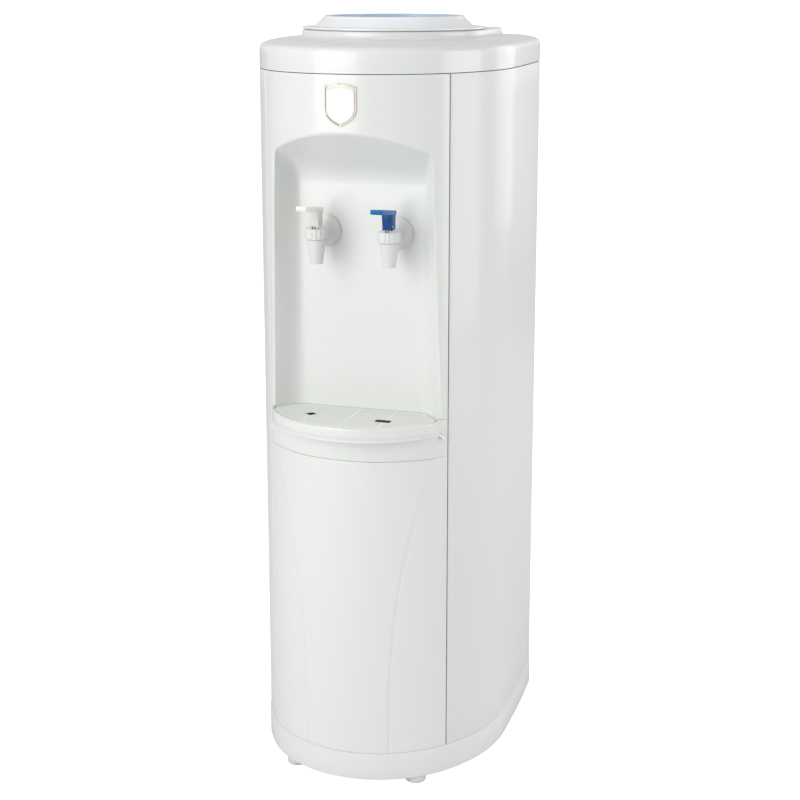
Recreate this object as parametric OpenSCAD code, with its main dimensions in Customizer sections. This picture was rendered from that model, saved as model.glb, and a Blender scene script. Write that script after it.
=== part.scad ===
// Free-standing top load water cooler, compressor cooled, with one room-temperature and one cold tap.
// Millimetres, +Z up, front towards -Y, origin on the floor under the middle of the object.

/* [Cabinet] */
// Width over the side panels
cab_w = 322; // [312:1:332]
// Depth from the middle of the front panel to the rear panel
cab_d = 366; // [358:1:376]
// Height of the seam under the top cover
panel_top = 904; // [896:1:930]
// Plan radius of the front panels
front_r = 148; // [144:1:152]
// Half angle of the front panels, up to the seam with the side panels
front_angle = 53; // [52:0.5:54]
// Plan radius of the nearly straight rear half of each side
rear_side_r = 2300; // [2000:50:2800]
// Thickness of the painted steel panels
steel_t = 1.2; // [0.8:0.1:1.6]
// Wall of the moulded plastic panels
shell_t = 2.5; // [2:0.1:3]
// Open level seam between panels that stand on each other
seam_gap = 0.4; // [0.3:0.1:0.6]
// Open upright seam between the front and side panels
side_seam = 0.8; // [0.5:0.1:0.9]
// Height of the seam between the lower front panel and the shelf housing
panel_split = 434; // [430:1:438]
// Depth that the front panels' side flanges turn inwards
flange_in = 12; // [8:1:16]
// Width of the side panels' flange at the rear
rear_flange = 15; // [12:1:18]
// Lower edge of the rear panel, above the open compressor bay
rear_panel_low = 240; // [232:1:246]

/* [Base] */
// Height of the feet
foot_h = 10; // [8:1:14]
// Diameter of the feet
foot_d = 26; // [22:1:30]
// Half distance between the front feet
foot_front_x = 82; // [76:1:84]
// Half distance between the rear feet
foot_rear_x = 118; // [110:1:122]
// Height of the seam above the plinth
plinth_top = 46; // [42:1:52]
// How far the plinth stands proud of the panels
plinth_step = 1; // [0.6:0.1:1.4]
// How far the middle of the lower front stands proud between its two curved edges
ridge_h = 0.9; // [0.6:0.1:1.4]
// Thickness of the steel plate that carries the compressor
base_plate_t = 2; // [1.5:0.1:3]

/* [Top] */
// Height of the top cover's upright band
cover_band = 25; // [22:1:28]
// Rise of the dome from the band to the foot of the platform
cover_dome = 12; // [10:1:14]
// Height of the raised platform on the dome
platform_h = 9; // [7:1:11]
// Plan radius of the platform, round the receptacle
platform_r = 117; // [116:1:120]
// Depth of the platform behind the middle of the receptacle
platform_rear = 122; // [114:1:128]

/* [Bottle receptacle] */
// How far the middle of the receptacle lies behind the middle of the cabinet
receptacle_back = 22; // [18:1:24]
// Radius of the receptacle's flange
receptacle_flange_r = 117; // [114:1:118]
// Thickness of the flange
receptacle_flange_t = 3; // [2.5:0.1:4]
// Height of the ring above the flange
receptacle_rise = 13.7; // [12:0.1:16]
// Radius inside the ring that carries the bottle's shoulder
bottle_collar_r = 86; // [84:0.5:88]
// Radius inside the well that takes the bottle's neck
neck_well_r = 33; // [31:0.5:36]
// Depth of the neck well
neck_well_h = 36; // [30:1:38]
// Wall of the receptacle
receptacle_t = 2.5; // [2:0.1:3]

/* [Alcove] */
// Height of the alcove's floor and of the drip shelf
shelf_z = 482; // [476:1:484]
// How far the alcove's back wall lies in front of the middle of the cabinet
alcove_back = 107; // [104:1:107]
// Width of the alcove's back wall
alcove_back_w = 174; // [166:1:178]
// Width of the alcove's mouth at the shelf
alcove_low_w = 221; // [217:1:223]
// Width of the alcove's mouth at its top
alcove_high_w = 200; // [196:1:204]
// Height of the alcove's lip on the centre line
alcove_lip_z = 834; // [828:1:838]
// Height at which the sloping soffit meets the back wall
soffit_z = 787; // [780:1:792]
// Radius of the fillet between the back wall and the soffit
soffit_r = 22; // [16:1:26]
// Radius of the mouth's upper corners
mouth_r = 16; // [12:1:20]
// Radius of the upright corners at the back of the alcove
alcove_corner_r = 12; // [8:1:16]

/* [Drip shelf] */
// Plan radius of the shelf's front edge
shelf_r = 128; // [123:1:128]
// How far the shelf stands out in front of the cabinet
shelf_reach = 24; // [16:1:24]
// Height of the shelf's upright lip
shelf_lip = 12; // [10:1:14]
// Height over which the underside curves back to the panel
shelf_under = 12; // [9:1:14]
// Width of the rim round the drip tray
shelf_rim = 4; // [3:0.5:6]
// Depth of the basin that holds the drip tray
basin_depth = 17; // [14:1:18]
// Thickness of the shelf's floor
shelf_floor = 2.5; // [2:0.1:3]
// Clearance all round the drip tray and the grille
tray_gap = 0.5; // [0.3:0.1:0.7]
// Wall of the drip tray
tray_t = 1.8; // [1.4:0.1:2.4]
// Thickness of the drip grille
grille_t = 3; // [2.4:0.1:3.6]
// Distance between the grille's slots
slat_pitch = 4.6; // [4.2:0.1:6]
// Width of the grille's slots
slot_w = 2.2; // [1.6:0.1:2.6]
// Width of the grille's cross ribs
rib_w = 4; // [3:0.5:5]

/* [Badge] */
// Width of the blank shield plate
badge_w = 40; // [36:1:44]
// Height of the blank shield plate
badge_h = 51; // [46:1:54]
// Height of the shield's lowest point
badge_low = 843; // [840:1:848]
// Width of the shield's metal rim
badge_rim_w = 2; // [1.5:0.1:2.6]

/* [Taps] */
// Distance between the two taps
tap_spacing = 94; // [88:1:98]
// Height of the tap shanks
tap_z = 708; // [700:1:716]
// Distance of the spout's axis from the alcove's back wall
tap_out = 35; // [34:0.5:37]
// Radius of the bell flange at the wall
bell_r = 19.7; // [18:0.1:21]
// Length of the spout below the shank's axis
spout_drop = 37; // [34:1:42]
// Radius of the water way in the spout
spout_bore_r = 5.5; // [5:0.1:5.8]
// Radius of the ribbed collar nut
collar_r = 14.6; // [14:0.1:15.4]
// Radius of the shank
shank_r = 8; // [7:0.1:8.6]
// Length of the lever's paddle in front of the spout's axis
paddle_len = 51; // [48:1:62]
// Width of the lever's paddle
paddle_w = 14; // [13:0.5:16]

/* [Cooling] */
// Outer radius of the cold tank
tank_r = 70; // [64:1:71]
// Height of the cold tank
tank_h = 208; // [196:1:216]
// Outer radius of the tank's insulation
insulation_r = 92; // [91:1:93]
// Outer radius of the evaporator tube
evaporator_r = 3.2; // [2.8:0.1:3.6]
// Turns of the evaporator coil
evaporator_turns = 7; // [5:1:8]
// Radius of the compressor's shell
compressor_r = 64; // [58:1:66]
// Height of the compressor's shell
compressor_h = 152; // [140:1:156]
// Width of the condenser between its bends
condenser_w = 214; // [196:1:220]
// Rows of condenser tube
condenser_rows = 12; // [8:2:12]
// Distance between the condenser's rows
condenser_pitch = 42; // [40:1:43]
// Radius of the condenser's tube
condenser_tube_r = 2.4; // [2.2:0.1:2.8]
// Radius of the condenser's wires
wire_r = 0.8; // [0.7:0.05:1]
// Number of wires on each face of the condenser
wire_count = 22; // [14:1:24]
// Radius of the drain tube's bore
drain_bore_r = 5; // [4:0.1:5.5]
// Radius of the hole in the cord gland
gland_bore_r = 3.6; // [3:0.1:4.2]

/* [Hidden] */
$fn = 96;
fine_fn = 1440;
tiny = 0.01;
fit = 0.3;
run_gap = 0.05;
half_w = cab_w / 2;
rear_y = cab_d / 2;
front_y = -rear_y;
front_cy = front_y + front_r;
side_r = (half_w - front_r * sin(front_angle)) / (1 - sin(front_angle));
side_cx = half_w - side_r;
side_cy = front_cy + (side_r - front_r) * cos(front_angle);
gap_angle = side_seam / front_r * 180 / PI;
flange_angle = shell_t / (front_r - flange_in) * 180 / PI;
flange_x = sqrt(pow(rear_side_r, 2) - pow(rear_y - side_cy, 2)) + half_w - rear_side_r - rear_flange;
reach_y = rear_y + shelf_reach;
cover_low = panel_top + seam_gap;
band_top = panel_top + cover_band;
dome_top = band_top + cover_dome;
platform_top = dome_top + platform_h;
receptacle_y = receptacle_back;
back_wall_y = -alcove_back;
shelf_cy = front_y - shelf_reach + shelf_r;
basin_z = shelf_z - basin_depth;
tray_floor_z = basin_z + fit;
grille_low = shelf_z - grille_t;
badge_top = badge_low + badge_h;
tap_x = tap_spacing / 2;
tap_y = back_wall_y - tap_out;
floor_t = 3;
plate_low = foot_h + floor_t + 7;
plate_top = plate_low + base_plate_t;
wedge_reach = 4 * front_r;

// Taps, measured from the spout's axis and the shank's axis
arm_z = -10.5;
seat_z = -14;
pin_y = -5.5;
pin_z = 14;
pin_r = 1.5;
stem_r = 2;
head_low = pin_z + 5.3;
chamber_r = 8.2;
collar_low = -6;
collar_top = 7;
spring_low = seat_z + 4 + 0.9;
spring_high = collar_top - 3 - 0.7;
hose_r = 7.2;
stub_r = 5;
stub_front = tap_y + tap_out + 32;
stub_end = receptacle_y - 43;

// Height of the tank, which hangs on the receptacle's outlet
well_floor_z = platform_top - 26 - neck_well_h - receptacle_t;
outlet_r = 22;
outlet_h = 14;
tank_top = well_floor_z - 4;
tank_low = tank_top - tank_h;
tank_t = 1;
coil_steps = 24;
coil_r = (tank_r + evaporator_r + fit) / cos(180 / coil_steps);
cavity_r = coil_r + evaporator_r + 1;
foam_under = 20;
insulation_low = tank_low - foam_under;
deck_t = 1.5;
deck_top = insulation_low;
coil_low = tap_z + hose_r + evaporator_r + 6;
coil_rise = 80;
coil_high = coil_low + coil_rise;
baffle_z = coil_high + 12;
drain_top = tank_low - 12;
line_x = 12;
line_r = 2.4;
joint_gap = 0.6;

// Rear panel: screws, condenser and controls
screw_r = 1.7;
bracket_x = condenser_w / 2 - 8;
condenser_low = 345;
condenser_high = condenser_low + (condenser_rows - 1) * condenser_pitch;
condenser_y = reach_y - 2 * wire_r - run_gap - condenser_tube_r;
bracket_zs = [condenser_low + condenser_pitch / 2, condenser_high - condenser_pitch / 2];
flange_zs = [rear_panel_low + 20, 460, 680, panel_top - 24];
screw_spots = [for (s = [-1, 1]) each concat(
    [for (z = flange_zs) [s * (flange_x + 6), z]],
    [for (z = bracket_zs) [s * bracket_x, z]]
)];
control_z = 286;
knob_x = 75 - half_w;
switch_x = half_w - 99;
gland_x = half_w - 65;
drain_x = 30;
drain_z = 276;
rocker_y = rear_y + 2;

// Compressor and its mounting
compressor_x = -18;
compressor_y = 78;
bolt_dx = 76;
bolt_dy = 50;
bolt_spots = [for (sx = [-1, 1]) for (sy = [-1, 1])
    [compressor_x + sx * bolt_dx, compressor_y + sy * bolt_dy]];
base_plate_w = 2 * bolt_dx + 58;
base_plate_d = 2 * bolt_dy + 58;
foot_spots = [
    [-foot_front_x, -142], [foot_front_x, -142], [-foot_rear_x, 145], [foot_rear_x, 145]
];
bolt_r = 3;
bolt_hole_r = 3.3;
grommet_h = 14;
can_low = plate_top + grommet_h + 3;
drier_x = 112;
drier_y = 146;
drier_low = 96;
drier_h = 104;

white = [0.93, 0.94, 0.92];
steel_white = [0.89, 0.89, 0.91];

// Plane geometry

function unit(v) = v / norm(v);
function outward(d) = [d[1], -d[0]];
function crossing(p, d, q, e) =
    p + d * (((q[0] - p[0]) * e[1] - (q[1] - p[1]) * e[0]) / (d[0] * e[1] - d[1] * e[0]));

// A convex anticlockwise outline, each side moved outwards by g
function grown(pts, g) =
    let (n = len(pts))
    [for (i = [0 : n - 1])
        let (b = pts[i], d = unit(b - pts[(i + n - 1) % n]), e = unit(pts[(i + 1) % n] - b))
        crossing(b + g * outward(d), d, b + g * outward(e), e)];

// Points of the arc of radius r that rounds the corner a, b, c
function corner_arc(a, b, c, r, steps = 8) =
    let (
        d = unit(a - b),
        e = unit(c - b),
        half = acos(d * e) / 2,
        centre = b + unit(d + e) * (r / sin(half)),
        from = b + d * (r / tan(half)) - centre,
        to = b + e * (r / tan(half)) - centre,
        start = atan2(from[1], from[0]),
        raw = atan2(to[1], to[0]) - start,
        sweep = raw > 180 ? raw - 360 : (raw < -180 ? raw + 360 : raw)
    )
    [for (k = [0 : steps]) centre + r * [cos(start + sweep * k / steps), sin(start + sweep * k / steps)]];

// An outline with a rounding radius for each corner
function rounded(pts, radii) =
    let (n = len(pts))
    [for (i = [0 : n - 1]) each (radii[i] > 0
        ? corner_arc(pts[(i + n - 1) % n], pts[i], pts[(i + 1) % n], radii[i])
        : [pts[i]])];

// Space paths for tubes: corners eased by a quadratic curve that starts ease before the corner

function eased(path, ease, steps = 5) =
    let (n = len(path))
    concat(
        [path[0]],
        [for (i = [1 : n - 2]) for (k = [0 : steps])
            let (b = path[i], s = b + unit(path[i - 1] - b) * ease, e = b + unit(path[i + 1] - b) * ease,
                 t = k / steps)
            s * pow(1 - t, 2) + b * 2 * t * (1 - t) + e * pow(t, 2)],
        [path[n - 1]]
    );
function heading(path, i) =
    unit(path[min(i + 1, len(path) - 1)] - path[max(i - 1, 0)]);
function side_vectors(path, i = 0, last = [0.31, 0.52, 0.8]) =
    i >= len(path) ? [] :
    let (d = heading(path, i), u = unit(last - d * (last * d)))
    concat([u], side_vectors(path, i + 1, u));

// A solid skinned over rings of equally many points, its ends closed flat
module loft(rings) {
    n = len(rings);
    m = len(rings[0]);
    sides = [for (i = [0 : n - 2]) for (k = [0 : m - 1])
        let (a = i * m + k, b = i * m + (k + 1) % m)
        each [[a, a + m, b], [b, a + m, b + m]]];
    low_end = [for (k = [1 : m - 2]) [0, k, k + 1]];
    high_end = [for (k = [1 : m - 2]) [(n - 1) * m, (n - 1) * m + k + 1, (n - 1) * m + k]];
    polyhedron([for (ring = rings) each ring], concat(sides, low_end, high_end));
}

// A solid tube of radius r along a path
module tube(path, r, sides = 8) {
    us = side_vectors(path);
    loft([for (i = [0 : len(path) - 1])
        let (u = us[i], v = cross(heading(path, i), u))
        [for (k = [0 : sides - 1]) path[i] + r * (u * cos(360 * k / sides) + v * sin(360 * k / sides))]]);
}

// Cabinet plan

module wedge(cx, cy, from, to, reach) {
    polygon([
        [cx, cy],
        [cx + reach * sin(from), cy - reach * cos(from)],
        [cx + reach * sin((from + to) / 2), cy - reach * cos((from + to) / 2)],
        [cx + reach * sin(to), cy - reach * cos(to)]
    ]);
}

// Plan outline of the cabinet, moved inwards by t, with its straight rear edge at back
module outline(t, back) {
    translate([0, front_cy]) circle(front_r / 2);
    intersection() {
        translate([0, front_cy]) circle(front_r - t);
        wedge(0, front_cy, -front_angle, front_angle, wedge_reach);
    }
    for (s = [-1, 1]) intersection() {
        translate([s * side_cx, side_cy]) circle(side_r - t);
        wedge(s * side_cx, side_cy, s * front_angle, s * 90, wedge_reach);
    }
    intersection() {
        translate([half_w - rear_side_r, side_cy]) circle(rear_side_r - t, $fn = fine_fn);
        translate([rear_side_r - half_w, side_cy]) circle(rear_side_r - t, $fn = fine_fn);
        translate([-half_w - 10, side_cy]) square([cab_w + 20, back - side_cy]);
    }
}

// Upright skirt inside the panels, open where their side flanges stand
module skirt(t0, t1, low, high) {
    open_angle = gap_angle + flange_angle + 1;
    translate([0, 0, low]) linear_extrude(high - low) difference() {
        outline(t0, rear_y - t0);
        outline(t1, rear_y - t1);
        for (s = [-1, 1])
            wedge(0, front_cy, s * front_angle - open_angle, s * front_angle + open_angle, wedge_reach);
    }
}

// The same outline as points, for the domed cover
function arc(cx, cy, r, from, to, n) =
    [for (k = [0 : n]) let (a = from + (to - from) * k / n) [cx + r * sin(a), cy - r * cos(a)]];
function outline_points(t) =
    let (
        rear_turn = asin((rear_y - t - side_cy) / (rear_side_r - t)),
        right = concat(
            arc(0, front_cy, front_r - t, 0, front_angle, 14),
            arc(side_cx, side_cy, side_r - t, front_angle + 3, 90, 9),
            arc(half_w - rear_side_r, side_cy, rear_side_r - t, 90 + rear_turn / 2, 90 + rear_turn, 1)
        )
    )
    concat(right, [for (i = [len(right) - 1 : -1 : 1]) [-right[i][0], right[i][1]]]);

// Domed body of the top cover, inset by t for its hollow
module dome(t, low) {
    steps = [[0, 0], [0.15, 0.5], [0.3, 1.8], [0.42, 3.8], [0.5, 6.5], [0.72, 16], [0.9, 28], [1, 42]];
    levels = concat([[low, t]], [for (s = steps) [band_top + cover_dome * s[0] - t, t + s[1]]]);
    loft([for (l = levels) [for (p = outline_points(l[1])) [p[0], p[1], l[0]]]]);
}

module platform_plan(t) {
    translate([0, receptacle_y]) circle(platform_r - t);
    translate([0, receptacle_y]) polygon(rounded(
        [[-platform_r + t, 0], [platform_r - t, 0], [platform_r - t, platform_rear - t],
         [-platform_r + t, platform_rear - t]],
        [0, 0, 30, 30]
    ));
}

module top_cover() {
    hole_r = bottle_collar_r + receptacle_t + 16;
    color(white) difference() {
        union() {
            difference() {
                dome(0, cover_low);
                dome(shell_t, cover_low - 1);
            }
            translate([0, 0, dome_top - shell_t]) linear_extrude(shell_t + platform_h) platform_plan(0);
        }
        translate([0, 0, dome_top - shell_t - 1]) linear_extrude(platform_h + 1) platform_plan(shell_t);
        translate([0, receptacle_y, dome_top]) cylinder(r = hole_r, h = platform_h + 1);
    }
    color(white) skirt(2 * shell_t, 3 * shell_t, panel_top - 8, cover_low + 10);
    color(white) skirt(shell_t / 2, 3 * shell_t, cover_low + 8, cover_low + 10);
}

// Receptacle and probe

module bottle_receptacle() {
    low = platform_top + fit;
    flange_top = low + receptacle_flange_t;
    ring_top = flange_top + receptacle_rise;
    ring_r = bottle_collar_r + receptacle_t;
    well_top = platform_top - 26;
    color("white") translate([0, receptacle_y, 0]) rotate_extrude() difference() {
        polygon([
            [outlet_r - receptacle_t, well_floor_z - outlet_h],
            [outlet_r, well_floor_z - outlet_h],
            [outlet_r, well_floor_z],
            [neck_well_r + receptacle_t, well_floor_z],
            [neck_well_r + receptacle_t, well_top - 4],
            [ring_r - 12, well_top + 12],
            [ring_r, low],
            [receptacle_flange_r, low],
            [receptacle_flange_r, flange_top],
            [receptacle_flange_r - 3, flange_top],
            [ring_r + 3, ring_top - 5],
            [ring_r + 0.8, ring_top - 0.8],
            [ring_r - 0.8, ring_top],
            [bottle_collar_r + 0.6, ring_top],
            [bottle_collar_r, ring_top - 1.5],
            [bottle_collar_r, low - 1],
            [ring_r - 12 - receptacle_t, well_top + 12 + receptacle_t],
            [neck_well_r, well_top],
            [neck_well_r, well_floor_z + receptacle_t],
            [outlet_r - receptacle_t, well_floor_z + receptacle_t]
        ]);
    }
}

module feed_probe() {
    low = well_floor_z + receptacle_t;
    tip = platform_top - 18;
    color([0.75, 0.85, 0.95]) translate([0, receptacle_y, 0]) difference() {
        union() {
            translate([0, 0, low]) cylinder(r = neck_well_r - 8, h = 3);
            translate([0, 0, low + 3]) cylinder(r = 9, h = tip - low - 10);
            translate([0, 0, tip - 7]) cylinder(r1 = 9, r2 = 4, h = 7);
        }
        translate([0, 0, low - 1]) cylinder(r = 6, h = tip - low - 6);
        for (a = [0, 90]) translate([0, 0, tip - 14]) rotate([90, 0, a])
            cylinder(r = 3, h = 30, center = true);
    }
}

module receptacle_seal() {
    color("lightgrey") translate([0, receptacle_y, tank_top + tank_t]) difference() {
        cylinder(r = outlet_r + 8, h = well_floor_z - tank_top - tank_t);
        translate([0, 0, -1]) cylinder(r = outlet_r + fit, h = 10);
    }
}

// Front panels

// Region of the front panels in plan, held back from the seams by an angle
module front_zone(less) {
    wedge(0, front_cy, -front_angle + less, front_angle - less, wedge_reach);
}

module front_shell(low, high) {
    translate([0, 0, low]) linear_extrude(high - low) difference() {
        intersection() {
            translate([0, front_cy]) circle(front_r);
            front_zone(gap_angle);
        }
        intersection() {
            translate([0, front_cy]) circle(front_r - shell_t);
            front_zone(gap_angle + flange_angle);
        }
        translate([0, front_cy]) circle(front_r - flange_in);
    }
}

// Half width of the raised middle of the lower front at the height z
function ridge_x(z) =
    let (s = min(max((z - plinth_top) / (panel_split - plinth_top), 0), 1))
    54 + 53 * pow(s, 2.6);

module ridge_face(low, high) {
    steps = 20;
    zs = [for (k = [0 : steps]) low + (high - low) * k / steps];
    rotate([90, 0, 0]) linear_extrude(2 * rear_y) polygon(concat(
        [for (z = zs) [ridge_x(z), z]],
        [for (k = [steps : -1 : 0]) [-ridge_x(zs[k]), zs[k]]]
    ));
}

module lower_front_panel() {
    low = plinth_top + seam_gap;
    high = panel_split - seam_gap / 2;
    color(white) union() {
        front_shell(low, high);
        intersection() {
            translate([0, 0, low]) linear_extrude(high - low) intersection() {
                translate([0, front_cy]) difference() {
                    circle(front_r + ridge_h);
                    circle(front_r - shell_t / 2);
                }
                front_zone(gap_angle);
            }
            ridge_face(low - 1, high + 1);
        }
    }
}

// Space of the alcove, grown by g to give its outer wall
module alcove(g, low) {
    mouth_y = -190 - shelf_reach;
    function plan(w, y) = [
        [-w, mouth_y], [w, mouth_y], [w, y],
        [alcove_back_w / 2, back_wall_y], [-alcove_back_w / 2, back_wall_y], [-w, y]
    ];
    function lip_y(w) = front_cy - sqrt(pow(front_r, 2) - pow(w, 2));
    radii = [0, 0, 0, alcove_corner_r + g, alcove_corner_r + g, 0];
    low_plan = plan(alcove_low_w / 2, lip_y(alcove_low_w / 2));
    high_plan = plan(alcove_high_w / 2, lip_y(alcove_high_w / 2));
    slope = (alcove_lip_z - soffit_z) / (back_wall_y - front_y);
    side = [
        [mouth_y, low], [back_wall_y, low], [back_wall_y, soffit_z],
        [mouth_y, soffit_z + slope * (back_wall_y - mouth_y)]
    ];
    mouth = [
        [-alcove_low_w / 2, low], [alcove_low_w / 2, low],
        [alcove_high_w / 2, alcove_lip_z + 4], [-alcove_high_w / 2, alcove_lip_z + 4]
    ];
    intersection() {
        hull() {
            translate([0, 0, low - g]) linear_extrude(tiny) polygon(rounded(grown(low_plan, g), radii));
            translate([0, 0, alcove_lip_z + 20]) linear_extrude(tiny)
                polygon(rounded(grown(high_plan, g), radii));
        }
        rotate([90, 0, 90]) linear_extrude(cab_w, center = true)
            polygon(rounded(grown(side, g), [0, 0, soffit_r + g, 0]));
        rotate([90, 0, 0]) linear_extrude(2 * cab_d, center = true)
            polygon(rounded(grown(mouth, g), [0, 0, mouth_r + 12 + g, mouth_r + 12 + g]));
    }
}

// Plan of the drip shelf, inset by t
module shelf_plan(t) {
    side_x = alcove_low_w / 2 - 1.5;
    lip_y = front_cy - sqrt(pow(front_r, 2) - pow(side_x, 2));
    intersection() {
        translate([0, shelf_cy]) circle(shelf_r - t);
        polygon(grown([
            [-side_x, -2 * rear_y], [side_x, -2 * rear_y], [side_x, lip_y],
            [alcove_back_w / 2 - 1, back_wall_y], [-alcove_back_w / 2 + 1, back_wall_y], [-side_x, lip_y]
        ], -t));
    }
}

module shelf() {
    lip_low = shelf_z - shelf_lip;
    under = lip_low - shelf_under;
    inner_r = shelf_r - shelf_reach - 14;
    difference() {
        intersection() {
            translate([0, shelf_cy, 0]) rotate_extrude() polygon([
                [0, under], [inner_r, under], [shelf_r - 12, under + 1.5], [shelf_r - 6, under + 4.5],
                [shelf_r - 2, under + 9], [shelf_r, lip_low + 1], [shelf_r, shelf_z - 1.2],
                [shelf_r - 1.2, shelf_z], [0, shelf_z]
            ]);
            translate([0, 0, under]) linear_extrude(shelf_lip + shelf_under) front_zone(gap_angle);
            translate([-half_w, -2 * rear_y, under])
                cube([cab_w, 2 * rear_y + back_wall_y + shell_t, shelf_lip + shelf_under]);
        }
        translate([0, 0, under - 1]) linear_extrude(basin_z - shelf_floor - under + 1)
            translate([0, front_cy]) circle(front_r - flange_in);
    }
}

module shelf_housing() {
    color(white) difference() {
        union() {
            front_shell(panel_split + seam_gap / 2, shelf_z - seam_gap / 2);
            shelf();
        }
        translate([0, 0, basin_z]) linear_extrude(basin_depth + 1) shelf_plan(shelf_rim);
    }
}

module upper_front_panel() {
    low = shelf_z + seam_gap / 2;
    high = panel_top - fit;
    color(white) difference() {
        union() {
            front_shell(low, high);
            intersection() {
                alcove(shell_t, shelf_z);
                translate([0, 0, low]) linear_extrude(high - low) intersection() {
                    translate([0, front_cy]) circle(front_r - tiny);
                    front_zone(gap_angle);
                }
            }
        }
        alcove(0, shelf_z);
        for (s = [-1, 1]) translate([s * tap_x, back_wall_y + shell_t + 1, tap_z])
            rotate([90, 0, 0]) cylinder(r = shank_r + fit, h = shell_t + 3);
    }
}

module drip_tray() {
    color(white) difference() {
        translate([0, 0, tray_floor_z]) linear_extrude(grille_low - run_gap - tray_floor_z)
            shelf_plan(shelf_rim + tray_gap);
        translate([0, 0, tray_floor_z + tray_t]) linear_extrude(basin_depth)
            shelf_plan(shelf_rim + tray_gap + tray_t);
    }
}

module drip_grille() {
    edge = shelf_rim + tray_gap;
    frame_w = 4;
    back = back_wall_y - edge - frame_w;
    rows = floor((back - front_y + shelf_reach - edge - frame_w) / slat_pitch);
    square_hole = 11;
    color(white) difference() {
        translate([0, 0, grille_low]) linear_extrude(grille_t) shelf_plan(edge);
        translate([0, 0, grille_low - 1]) linear_extrude(grille_t + 2) difference() {
            intersection() {
                shelf_plan(edge + frame_w);
                for (i = [0 : rows]) translate([-half_w, back - slot_w - i * slat_pitch])
                    square([cab_w, slot_w]);
            }
            for (x = [-54, 0, 47]) translate([x - rib_w / 2, -2 * rear_y]) square([rib_w, 2 * rear_y]);
        }
        translate([-tap_x - 6, tap_y - 10, grille_low - 1]) rotate([0, 0, 45])
            translate([-square_hole / 2, -square_hole / 2, 0])
                cube([square_hole, square_hole, grille_t + 2]);
        translate([tap_x - 13, tap_y - 23, grille_low - 1]) cube([20, 12, grille_t + 2]);
    }
}

// Badge

module shield(t) {
    w = badge_w / 2 - t;
    top = badge_top - t;
    polygon(concat(
        [[0, top], [-w, top - 3.5]],
        [for (k = [1 : 8]) let (a = 90 * k / 8)
            [-w * pow(cos(a), 0.7), badge_low + badge_h * 0.42 - (badge_h * 0.42 - t * 1.1) * sin(a)]],
        [for (k = [7 : -1 : 1]) let (a = 90 * k / 8)
            [w * pow(cos(a), 0.7), badge_low + badge_h * 0.42 - (badge_h * 0.42 - t * 1.1) * sin(a)]],
        [[w, top - 3.5]]
    ));
}

module shield_layer(t, proud) {
    intersection() {
        rotate([90, 0, 0]) linear_extrude(rear_y + shelf_reach) shield(t);
        translate([0, front_cy, 0]) difference() {
            cylinder(r = front_r + proud, h = panel_top);
            translate([0, 0, -1]) cylinder(r = front_r + run_gap, h = panel_top + 2);
        }
    }
}

module badge_plate() {
    color("white") shield_layer(badge_rim_w, 1.2);
}

module badge_rim() {
    color([0.78, 0.76, 0.68]) difference() {
        shield_layer(0, 1.8);
        rotate([90, 0, 0]) linear_extrude(2 * rear_y) shield(badge_rim_w - run_gap);
    }
}

// Side and rear panels

module side_section(s) {
    fold = steel_t / front_r * 180 / PI;
    difference() {
        intersection() {
            difference() {
                outline(0, rear_y - steel_t);
                outline(steel_t, rear_y - 2 * steel_t);
            }
            translate([s > 0 ? 90 : -90 - cab_w, -rear_y]) square([cab_w, cab_d]);
        }
        wedge(0, front_cy, -front_angle, front_angle, wedge_reach);
        translate([-flange_x, 100]) square([2 * flange_x, rear_y]);
    }
    difference() {
        intersection() {
            translate([s * side_cx, side_cy]) circle(side_r - tiny);
            wedge(0, front_cy, min(s * front_angle, s * (front_angle + fold)),
                  max(s * front_angle, s * (front_angle + fold)), wedge_reach);
        }
        translate([0, front_cy]) circle(front_r - flange_in);
    }
}

module side_panel(s) {
    low = plinth_top + seam_gap;
    color(steel_white) difference() {
        translate([0, 0, low]) linear_extrude(panel_top - fit - low) side_section(s);
        for (z = flange_zs) translate([s * (flange_x + 6), rear_y - 10, z]) rotate([-90, 0, 0])
            cylinder(r = screw_r + 0.2, h = 10, $fn = 32);
    }
}

module left_side_panel() {
    side_panel(-1);
}

module right_side_panel() {
    side_panel(1);
}

module rear_panel() {
    vent_rows = 7;
    color(steel_white) difference() {
        translate([-flange_x - rear_flange + 1, rear_y - steel_t + tiny, rear_panel_low])
            cube([2 * (flange_x + rear_flange - 1), steel_t - tiny, panel_top - fit - rear_panel_low]);
        for (p = screw_spots) translate([p[0], 0, p[1]]) rotate([-90, 0, 0])
            cylinder(r = screw_r + 0.2, h = cab_d, $fn = 32);
        for (s = [-1, 1]) for (i = [0 : vent_rows - 1])
            translate([s * 52 - 34, 100, panel_top - 76 + i * 8]) cube([68, cab_d, 2.6]);
        translate([knob_x, 0, control_z]) rotate([-90, 0, 0]) cylinder(r = 4.5, h = cab_d);
        translate([drain_x, 0, drain_z]) rotate([-90, 0, 0])
            cylinder(r = drain_bore_r + 2 + fit, h = cab_d);
        translate([gland_x, 0, control_z]) rotate([-90, 0, 0])
            cylinder(r = gland_bore_r + 3 + fit, h = cab_d);
        translate([switch_x - 11 - fit, 0, control_z - 14 - fit]) cube([22 + 2 * fit, cab_d, 28 + 2 * fit]);
    }
}

// A pan-head screw along +Y whose head rests on the face y = 0
module screw() {
    rotate([90, 0, 0]) cylinder(r = screw_r, h = 8, $fn = 32);
    difference() {
        rotate([-90, 0, 0]) cylinder(r = 3.6, h = 2, $fn = 32);
        translate([-2.4, 1.2, -0.4]) cube([4.8, 2, 0.8]);
        translate([-0.4, 1.2, -2.4]) cube([0.8, 2, 4.8]);
    }
}

module rear_screws() {
    color("silver") for (p = screw_spots)
        translate([p[0], rear_y + (abs(p[0]) > flange_x ? run_gap : 1.2 + 2 * run_gap), p[1]]) screw();
}

// Base

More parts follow.
